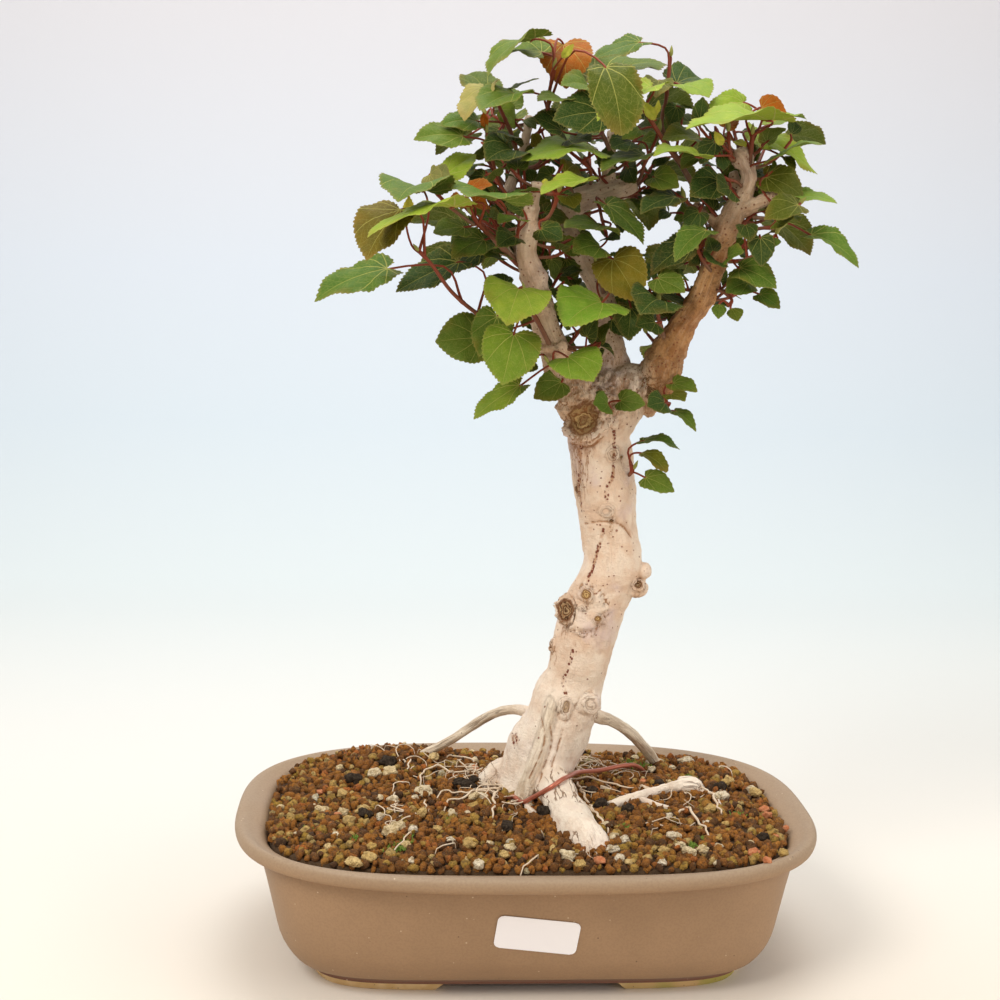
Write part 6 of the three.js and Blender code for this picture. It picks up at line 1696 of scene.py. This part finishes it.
def make_wood():
    """The tree's limbs as one skin, with its relief, scars, knot, pores and folds."""
    fused, thin, lines, skins = [], [], [], []
    for kind, knobbly, points, radii in LIMBS:
        if kind == "right":
            slim = np.interp([point[2] for point in points], SLIM_FOOT["heights"], SLIM_FOOT["shares"])
            radii = slim * radii
        rows, line = limb_rows(points, radii, knobbly, 1.6)
        lines.append(line)
        skins.append(SKIN_OF[kind])
        (thin if min(radii) < THINNEST_FUSED else fused).append(closed_rows(rows))
    mesh = fuse(fused + [burl_form(*burl) for burl in BURLS])
    grain = Grain(lines, skins)
    spots = (read_points(mesh, "co") - POT_MIDDLE) / MM
    place, skin_kind, radius = grain.read(spots)
    brown, fibrous = skin_kind.T
    tree = BVHTree.FromPolygons([v.co for v in mesh.vertices], [p.vertices for p in mesh.polygons])
    ragged = 1 + 0.16 * wave(spots, 3.0, 9) + 0.1 * wave(spots, 1.2, 10)
    lift = wood_relief(spots, place, brown, fibrous, radius)
    scar_lift, scar, filled, drip = scar_relief(spots, tree, ragged)
    x, z, wide, tall = COLLAR
    at, = front_hits(tree, [(x, z)])
    knot = np.linalg.norm((spots - at) / (wide, wide, tall), axis=1) * ragged
    hollow = 1 - 0.25 * np.exp(-((knot - 0.5) / 0.2) ** 2)
    lift += scar_lift + 2.7 * hollow / (1 + np.exp((knot - 0.95) * 16))
    crack = distance_from_rows(spots, PORE_ROWS, tree)
    collar_edge = np.abs(knot - 1.08) * wide * np.where(spots[:, 1] < at[1] + 12, 1, 9)
    fold = np.minimum(collar_edge, distance_from_rows(spots, FOLDS, tree)) + 0.5 * wave(spots, 3.5, 14) ** 2
    lift -= 0.2 * np.exp(-(crack / 0.9) ** 2) + 0.95 * np.exp(-(fold / 0.85) ** 2)
    lift_skin(mesh, spots, lift)
    # hollow is how far each point was pushed in; the bark paints it darker, as painted shade.
    add_values(mesh, wood_place=place * MM, brown=brown, fibrous=fibrous, scar=scar, crack=crack, fold=fold,
               filled=filled, drip=drip, hollow=-lift)
    skin = bark()
    mesh.materials.append(skin)
    finish_piece(mesh, "trunk_and_boughs", "bark", "trunk")
    make_surface_roots(thin, grain, skin)


def make_wire():
    path = Path(WIRE)
    count = 90
    points, quads, caps = tube(path.at(np.linspace(0, 1, count)), WIRE_RADIUS, 14)
    mesh = new_mesh("copper_wire", points, [quads, caps], [plain_finish("copper_brown_wire", WIRE_METAL)])
    finish_piece(mesh, "copper_wire", "wire", "anchor_wire")


# Leaves

# Half of a blade's outline as (along, across): shares of its length and of its width
HEART = [(0, 0), (-0.06, 0.09), (-0.12, 0.2), (-0.12, 0.33), (-0.035, 0.445), (0.12, 0.5), (0.3, 0.51),
         (0.47, 0.475), (0.63, 0.4), (0.76, 0.295), (0.86, 0.175), (0.93, 0.08), (1, 0)]
LANCE = [(0, 0), (0.05, 0.16), (0.25, 0.42), (0.5, 0.5), (0.75, 0.36), (0.92, 0.12), (1, 0)]
OVAL = [(0, 0), (-0.02, 0.15), (0.02, 0.3), (0.13, 0.43), (0.3, 0.5), (0.5, 0.505), (0.7, 0.46),
        (0.85, 0.345), (0.95, 0.18), (1, 0)]
BLADE_CENTRE = 0.3
TOOTH = 0.025  # depth, in shares of the blade's length
BLADE_SIZES = [  # least length in mm, teeth on a side, points on a tooth, rings
    (27, 24, 3, (0.17, 0.36, 0.56, 0.76, 0.93, 1)),
    (17, 17, 3, (0.25, 0.5, 0.74, 0.92, 1)),
    (0, 9, 2, (0.45, 0.85, 1)),
]
LONG_PETIOLE = 8.0
TWIG_SHARE = 0.78  # of the thickness given


class Blade:
    """Leaf blade: where it starts, how it lies, and its fold, arch and ripple."""

    def __init__(self, base, tip, facing, width, draw):
        self.start = np.array(base, float)
        way = np.array(tip, float) - self.start
        self.length = np.linalg.norm(way)
        self.along = way / self.length
        bearing, height = (math.radians(a) for a in facing)
        face = np.array([math.sin(bearing) * math.cos(height), -math.cos(bearing) * math.cos(height),
                         math.sin(height)])
        self.face = unit(face - self.along * face.dot(self.along))
        self.side = np.cross(self.face, self.along)
        self.width = width * self.length
        self.fold = 0.05 + 0.24 * next(draw)
        self.arch = 0.02 + 0.09 * next(draw)
        self.phase = 2 * math.pi * next(draw)

    def at(self, u, v, off=0.0, soft=0.0):
        """Points u along the blade (0 to 1) and v across it (-0.5 to 0.5). soft rounds the fold's crease."""
        u, v = np.atleast_1d(u).astype(float), np.atleast_1d(v).astype(float)
        ripple = 0.05 * np.sin(7 * u + self.phase) * np.abs(v) * 2
        bow = self.arch * 4 * u * (1 - u)
        crease = self.fold * (np.sqrt(v * v + soft * soft) - soft)
        rise = self.length * (bow + ripple) + crease * self.width + off
        return (self.start + np.outer(u * self.length, self.along) + np.outer(v * self.width, self.side)
                + np.outer(rise, self.face))


def outline_of(blade, half, teeth, steps):
    """Toothed outline of one half, as (along, across) in shares of the length."""
    share = blade.width / blade.length
    path = Path([(u, v * share, 0) for u, v in half])
    fine = path.at(np.linspace(0, 1, 400))[:, :2]
    run = np.concatenate([[0], np.cumsum(np.linalg.norm(np.diff(fine, axis=0), axis=1))])
    part = np.arange(teeth * steps) / (teeth * steps)
    at = np.stack([np.interp(part * run[-1], run, fine[:, i]) for i in range(2)], -1)
    way = np.gradient(at, axis=0)
    out = np.stack([-way[:, 1], way[:, 0]], -1) / np.linalg.norm(way, axis=1)[:, None]
    tooth = {2: (0.0, 1.0), 3: (0.0, 0.62, 1.0)}[steps]
    push = TOOTH * np.tile(tooth, teeth) * np.clip(part / 0.12, 0, 1) * np.clip((1 - part) / 0.06, 0, 1)
    return at + out * push[:, None]


def vein_relief(x, y, reach):
    """Rise of the fields between the main veins, which leave the notch like the fingers of a hand."""
    out = np.hypot(x, y)
    turn = np.arctan2(np.abs(y), x) * (1 + VEIN_BEND * out)
    off = np.abs((turn + VEIN_TURN / 2) % VEIN_TURN - VEIN_TURN / 2)
    return np.sin(np.pi * np.clip(off / VEIN_TURN, 0, 0.5)) * np.clip(out / 0.3, 0, 1) * (1 - reach ** 5)


def blade_parts(blade, half_outline):
    """Points, faces, which faces are the under side, places in the blade's plane, and how near the rim."""
    _, teeth, steps, rings = next(size for size in BLADE_SIZES if blade.length > size[0])
    right = outline_of(blade, half_outline, teeth, steps)
    rim = np.vstack([right, [[1.0, 0.0]], (right * (1, -1))[:0:-1]])
    middle = np.array([BLADE_CENTRE, 0.0])
    plane = np.vstack([middle + s * (rim - middle) for s in rings] + [middle])
    reach = np.concatenate([np.full(len(rim), s) for s in rings] + [[0.0]])
    x, y = plane.T
    v = y * blade.length / blade.width
    droop = -0.10 * blade.length * np.clip(x - 0.45, 0, None) ** 2
    relief = 0.017 * blade.length * vein_relief(x, y, reach) + droop
    flutter = 0.014 * blade.length * reach ** 6 * np.sin(9 * np.arctan2(y, x - 0.3) + 2 * blade.phase)
    half = BLADE_THICKNESS / 2 * (1 - 0.6 * reach ** 3)
    layers = [blade.at(x, v, relief + flutter + side * half, 0.05) for side in (1, -1)]
    count, columns = len(plane), len(rim)
    top = grid_faces(len(rings), columns)
    fan = fan_faces(np.arange(columns), count - 1)
    edge = sheet_edge((len(rings) - 1) * columns + np.arange(columns), count)
    quads = np.vstack([top, top[:, ::-1] + count, edge])
    under = np.concatenate([np.zeros(len(top)), np.ones(len(top)), np.ones(len(edge))])
    triangles = np.vstack([fan[:, ::-1], fan + count])
    under_fan = np.concatenate([np.zeros(len(fan)), np.ones(len(fan))])
    return np.vstack(layers), quads, triangles, under, under_fan, np.vstack([plane, plane]), np.tile(reach, 2)


def elbow_of(blade, root):
    """Where a petiole bends between its twig and its blade."""
    length = np.linalg.norm(root - blade.start)
    return blade.start + 0.45 * (root - blade.start) - 0.35 * length * blade.along + (0, 0, 0.06 * length)


def petiole_line(blade, root):
    """Stalk from its twig to the notch, where it passes under the blade's base."""
    way = root - blade.start
    length = np.linalg.norm(way)
    straight = way / length
    bent = length > LONG_PETIOLE or -straight.dot(blade.along) < 0.3 or abs(straight.dot(blade.side)) > 0.6
    middle = elbow_of(blade, root) if bent else blade.start + 0.5 * way + (0, 0, 0.03 * length)
    end = blade.start - blade.face * 0.35
    path = Path([root, middle, end - blade.along * 0.6, end + blade.along * min(2.5, 0.12 * blade.length)])
    part = np.linspace(0, 1, 12 if length > LONG_PETIOLE else 8)
    radius = np.interp(part, [0, 0.1, 0.3, 0.62, 0.72, 1], [0.95, 0.8, 0.62, 0.6, 0.72, 0.3])
    return path.at(part), radius * (PETIOLE_RADIUS / 0.62), np.interp(part, [0, 1], [0.15, -0.3])


def twig_line(twig, thick, starts):
    """Twig with a swelling at each petiole."""
    path = Path(twig)
    part = np.linspace(0, 1, max(5, int(path.length / 1.3)))
    thick = [max(t, LEAST_TWIG) for t in thick]
    run = np.interp(part, np.linspace(0, 1, 201), path.runs) / path.length
    radius = TWIG_SHARE * (thick[0] + (thick[1] - thick[0]) * run)
    for start in starts:
        radius = radius * (1 + 0.22 * np.exp(-((run - start) * path.length / 1.1) ** 2))
    radius[-1] *= 0.55
    return path.at(part), radius, np.interp(part, [0, 0.6, 1], [1.0, 0.55, 0.25])


def bud_line(twig, size, draw):
    """Pointed bud at a twig's tip."""
    end = np.array(twig[-1], float)
    way = unit(unit(end - np.array(twig[-2])) + (0.5 * next(draw) - 0.25, 0.5 * next(draw) - 0.25, 0.35))
    part = np.linspace(0, 1, 7)
    radius = size * np.interp(part, [0, 0.25, 0.5, 0.8, 1], [0.12, 0.2, 0.19, 0.1, 0.02])
    return end + np.outer(part * size, way), radius, np.full(7, -1.0)


def spaced_starts(twig, starts):
    """Petioles that start close together on a twig, set apart from its tip backwards."""
    length = Path(twig).length
    spaced = [0.0] * len(starts)
    limit = 1 - 0.4 / length
    for i in sorted(range(len(starts)), key=lambda i: (-starts[i], i)):
        spaced[i] = max(min(starts[i], limit), 0.02)
        limit = spaced[i] - PETIOLE_SPACING / length
    return spaced


class Room:
    """What already fills the crown, so that the hidden twigs leave out the leaves that would cross it."""

    def __init__(self):
        self.spots = []
        self.rooms = []
        for _, _, points, radii in LIMBS:
            path = Path(points)
            count = max(2, nearest(path.length / 6))
            for i in range(count + 1):
                self.spots.append(path.at(i / count)[0])
                self.rooms.append(radii[nearest(i / count * (len(radii) - 1))] + 1.5)

    @staticmethod
    def samples(blade):
        pairs = [(u, v) for u in (0.08, 0.32, 0.56, 0.8, 1)
                 for v in ((-0.42, -0.2, 0, 0.2, 0.42) if u < 0.7 else (0,))]
        u, v = np.array(pairs).T
        return blade.at(u, v)

    def clear(self, spots, closer=0.0):
        gaps = np.linalg.norm(spots[:, None] - np.array(self.spots)[None], axis=2)
        return bool((gaps > np.array(self.rooms)[None] - closer).all())

    def take(self, spots):
        self.spots.extend(spots)
        self.rooms.extend([REAR["clearance"]] * len(spots))


def nearest(value):
    """Nearest whole number, with halves upwards."""
    return math.floor(value + 0.5)


def drawn(limits, draw):
    """Size between two limits by the next draw."""
    return limits[0] + (limits[1] - limits[0]) * next(draw)


def shoots_in_sight(room):
    """Every twig of SHOOTS with its blades."""
    draw = draws_from(19)
    found = []
    for name, thick, twig, leaves in SHOOTS:
        starts = spaced_starts(twig, [leaf[0] for leaf in leaves])
        blades = [(start, Blade(*leaf[1:5], draw), leaf[5]) for start, leaf in zip(starts, leaves)]
        for _, blade, _ in blades:
            room.take(Room.samples(blade))
        found.append(("shoot_" + name, thick, twig, blades))
    return found


def rear_shoots(room):
    """Twigs on the hidden side, which all follow one rule. Blades that would cross others are left out."""
    found = []
    draw = draws_from(REAR["seed"])
    for index, (at, heading, length, count) in enumerate(REAR_TWIGS):
        out = unit(np.array(heading, float))
        root = np.array(at, float)
        middle = root + out * length * 0.5 + (0, 0, length * 0.06)
        twig = [root, middle, root + out * length + (0, 0, length * 0.22)]
        path = Path(twig)
        level = unit(np.cross(out, (0, 0, 1)))
        raised = np.cross(level, out)
        blades = []
        for i in range(count):
            start = REAR["first"] + (1 - REAR["first"]) * (i + 1) / count
            turn = i * math.radians(137.5) + 2 * math.pi * next(draw)
            petiole = drawn(REAR["petiole"], draw)
            least, most = REAR["blade"]
            size = least + (most - least) * next(draw) * (1.15 - 0.3 * start)
            away = level * math.cos(turn) + raised * 0.75 * math.sin(turn)
            stalk = unit(out * REAR["lean"] + away * 0.85)
            base = path.at_run(min(start, 0.999)) + stalk * petiole
            lie = unit(stalk + out * 0.4 - np.array([0, 0, drawn(REAR["droop"], draw)]))
            bearing = math.degrees(math.atan2(out[0], -out[1]))
            blade = Blade(base, base + lie * size, (bearing, REAR["face"]), REAR["width"], draw)
            spots = Room.samples(blade)
            if room.clear(spots):
                room.take(spots)
                # Hidden blades take the tone rear: painted shade, a darker copy of the green.
                blades.append((start, blade, "rear"))
        found.append((f"shoot_rear_{index + 1}", REAR["thick"], twig, blades))
    return found


# Short twigs along the upper limbs, mostly behind them: how long, how many to try and how close they may come
INNER = {"seed": 12, "spacing": 3.2, "twig": (6, 20), "petiole": (3, 8), "blade": (7, 15), "closer": 2.4}


def inner_twigs(room):
    """Small leaves that fill the inside of the crown, each clear of what is there already."""
    rng = np.random.default_rng(INNER["seed"])
    groups = {}
    for kind, _, points, radii in LIMBS:
        if kind not in ("left", "middle", "right"):
            continue
        path = Path(points)
        for _ in range(int(path.length / INNER["spacing"])):
            part = rng.uniform(0.22, 0.97)
            turn = rng.uniform(-0.35, math.pi + 0.35)
            out = unit(np.array([math.cos(turn), math.sin(turn), rng.uniform(-0.35, 0.8)]))
            root = path.at(part)[0]
            length = rng.uniform(*INNER["twig"]) + np.interp(part, np.linspace(0, 1, len(radii)), radii)
            bend = root + out * length * 0.55 + rng.normal(0, 0.8, 3)
            end = root + out * length + (0, 0, 0.25 * length)
            twig = [root, bend, end]
            line = Path(twig)
            blades = []
            for i in range(4):
                start = 1.0 - 0.17 * i
                away = unit(out * 0.5 + rng.normal(0, 0.7, 3) + (0, 0, 0.15))
                base = line.at_run(min(start, 0.999)) + away * rng.uniform(*INNER["petiole"])
                lie = unit(away + (0, -0.25, -rng.uniform(0.1, 0.8)))
                facing = (rng.uniform(-70, 70), rng.uniform(25, 75))
                size = rng.uniform(*INNER["blade"])
                blade = Blade(base, base + lie * size, facing, rng.uniform(0.82, 1.0), iter(rng.random(3)))
                spots = Room.samples(blade)
                if room.clear(spots, INNER["closer"]):
                    room.take(spots)
                    # The tones dark and rear are painted shade for the blades inside the crown.
                    blades.append((start, blade, rng.choice(["dark", "rear", "green"], p=[0.5, 0.35, 0.15])))
            if blades:
                groups.setdefault(kind, []).append(((1.0, 0.7), twig, blades))
    return groups


def tint_of(tone, draw):
    """The tone's colour, a little brighter or darker and a little yellower or greener."""
    light = 0.84 + 0.34 * next(draw)
    yellow = 0.9 + 0.24 * next(draw)
    r, g, b = LEAF_TONES[tone]
    return (r * light * yellow, g * light, b * light, 1.0)


def add_line_edges(mesh, lines, count):
    """Adds count points to a mesh of blades, joined in lines, which are the middles of its stems."""
    first, old = len(mesh.vertices), len(mesh.edges)
    mesh.vertices.add(count)
    joins = np.concatenate([[1] * (len(line) - 1) + [0] for line, _, _ in lines])[:-1]
    starts = first + np.flatnonzero(joins)
    mesh.edges.add(len(starts))
    ends = np.zeros(2 * len(mesh.edges), np.int32)
    mesh.edges.foreach_get("vertices", ends)
    ends[2 * old:] = np.stack([starts, starts + 1], -1).ravel()
    mesh.edges.foreach_set("vertices", ends)


def make_shoot(name, twigs, slot, nodes, finishes, grower, draw):
    """One piece out of twigs, each with its thickness, its line and its blades."""
    parts, tints, lines = [], [], []
    for thick, twig, blades in twigs:
        path = Path(twig)
        lines.append(twig_line(twig, thick, [start for start, _, _ in blades]))
        if thick[1] > 0.85:
            lines.append(bud_line(twig, 4.5 + 2.5 * next(draw), draw))
        for start, blade, tone in blades:
            oval = tone == "olive" and blade.width < 0.69 * blade.length
            narrow = tone == "bud" or blade.length < 9
            parts.append(blade_parts(blade, LANCE if narrow else OVAL if oval else HEART))
            tints.append(np.tile(tint_of(tone, draw), (len(parts[-1][0]), 1)))
            lines.append(petiole_line(blade, path.at_run(min(start, 0.999))))
    firsts = np.cumsum([0] + [len(part[0]) for part in parts])
    points, quads, triangles, under, under_fan, plane, reach = zip(*parts)
    quads = [q + f for q, f in zip(quads, firsts)]
    triangles = [t + f for t, f in zip(triangles, firsts)]
    top, below, stem = finishes
    mesh = new_mesh(name, np.vstack(points), [np.vstack(quads), np.vstack(triangles)], [top, below],
                    np.concatenate([*under, *under_fan]))
    corners = np.zeros(len(mesh.loops), np.int32)
    mesh.loops.foreach_get("vertex_index", corners)
    mesh.uv_layers.new(name="blade").data.foreach_set("uv", np.vstack(plane)[corners].ravel())
    spots = np.vstack([line for line, _, _ in lines])
    add_line_edges(mesh, lines, len(spots))
    mesh.vertices.foreach_set("co", in_frame(np.vstack([*points, spots])).ravel())
    none = np.zeros(firsts[-1])
    add_values(mesh, edge=np.concatenate([*reach, np.zeros(len(spots))]),
               stem_radius=np.concatenate([none] + [radius * MM for _, radius, _ in lines]),
               age=np.concatenate([none] + [age for _, _, age in lines]))
    colours = mesh.color_attributes.new(name="tint", type="FLOAT_COLOR", domain="POINT")
    colours.data.foreach_set("color", np.vstack([*tints, np.ones((len(spots), 4))]).ravel())
    grown = grower.run(mesh, name, Sides=7 if nodes else 5, Finish=stem)
    grown.set_sharp_from_angle(angle=math.radians(55))
    finish_piece(grown, name + "_leaves", slot, *nodes)


def make_shoots(grower):
    finishes = [leaf("leaf_top", False), leaf("leaf_under", True), stem_skin()]
    slots = {part["node"]: part["material_slot"] for part in frame["record"]["subparts"]}
    draw = draws_from(77)
    room = Room()
    for name, thick, twig, blades in [*shoots_in_sight(room), *rear_shoots(room)]:
        make_shoot(name, [(thick, twig, blades)], slots[name], [name], finishes, grower, draw)
    for kind, twigs in inner_twigs(room).items():
        make_shoot("inner_" + kind, twigs, "leaf_green", [], finishes, grower, draw)


# Stage, light and camera

def backdrop():
    f = Finish("studio_paper", 0.95)
    spot = f.place()
    away = f.sum("ADD", f.span(f.axis(spot, "Y"), -0.3, 1.5, 0, 0.5, smooth=False),
                 f.span(f.axis(spot, "Z"), 0, 0.75, 0, 0.5, smooth=False))
    return f.lit(f.ramp(away, [
        (0, (0.82, 0.72, 0.595)), (0.16, (0.79, 0.775, 0.725)), (0.34, (0.755, 0.82, 0.825)),
        (0.52, (0.71, 0.79, 0.845)), (0.7, (0.75, 0.805, 0.875)), (1, (0.84, 0.815, 0.845))]))


def make_stage():
    turn = np.linspace(0, math.pi / 2, 25)
    front, back, rise, curve = -2400.0, 1500.0, 2600.0, 700.0
    bend = [(back - curve + curve * math.sin(a), curve - curve * math.cos(a)) for a in turn]
    profile = [(front, 0.0), *bend, (back, rise)]
    points = [(side * 2600, y, z) for y, z in profile for side in (-1, 1)]
    mesh = new_mesh("studio_sweep", np.array(points), [grid_faces(len(profile), 2, False)], [backdrop()])
    sweep = object_of(mesh, "studio_sweep")


def area_light(name, at, aim, size, power, colour):
    data = bpy.data.lights.new(name, "AREA")
    data.shape = "DISK"
    data.size = size
    data.energy = power
    data.color = colour
    lamp = bpy.data.objects.new(name, data)
    bpy.context.scene.collection.objects.link(lamp)
    lamp.location = in_frame(at)
    lamp.rotation_euler = (lamp.location - Vector(in_frame(aim))).to_track_quat("Z", "Y").to_euler()


def make_lights():
    area_light("key", (-760, -760, 1150), (0, 0, 260), 0.7, 12.7, (1.0, 0.965, 0.92))
    area_light("fill", (1040, -620, 560), (0, 0, 240), 1.1, 5.0, (1.0, 0.98, 0.95))
    area_light("top", (100, 250, 1400), (0, 0, 300), 1.0, 6.5, (1.0, 1.0, 1.0))
    area_light("wall", (0, 650, 2100), (0, 1500, 700), 2.2, 11, (1.0, 1.0, 1.0))
    world = bpy.data.worlds.new("pale_room")
    world.use_nodes = True
    back = world.node_tree.nodes["Background"]
    back.inputs["Color"].default_value = (1.0, 0.98, 0.955, 1)
    back.inputs["Strength"].default_value = 0.46
    bpy.context.scene.world = world
    bpy.context.scene.view_settings.view_transform = "Standard"


CAMERA = {"eye": (-66.6, -810.2, 357.4), "target": (-16.2, 1.0, 234.5), "roll": 1.25, "lens": 57.6}


def make_camera():
    data = bpy.data.cameras.new("camera")
    data.lens = CAMERA["lens"]
    data.sensor_width = 36
    data.clip_end = 20
    camera = bpy.data.objects.new("camera", data)
    bpy.context.scene.collection.objects.link(camera)
    eye, target = Vector(in_frame(CAMERA["eye"])), Vector(in_frame(CAMERA["target"]))
    back = (eye - target).normalized()
    right = Vector((0, 0, 1)).cross(back).normalized()
    up = back.cross(right)
    roll = math.radians(CAMERA["roll"])
    across = right * math.cos(roll) + up * math.sin(roll)
    over = up * math.cos(roll) - right * math.sin(roll)
    camera.matrix_world = Matrix.Translation(eye) @ Matrix((across, over, back)).transposed().to_4x4()
    bpy.context.scene.camera = camera


stems = stem_grower()
make_pot()
make_feet()
make_label()
make_bed()
make_grains(grain_grower())
make_stones()
make_moss(stems)
make_fine_roots(stems)
make_wood()
make_wire()
make_shoots(stems)
screen_finish = plain_finish("black_moulded_mesh")
for screen in ("drain_screen_left", "drain_screen_right"):
    frame["nodes"][screen].data.materials.clear()
    frame["nodes"][screen].data.materials.append(screen_finish)
make_stage()
make_lights()
make_camera()
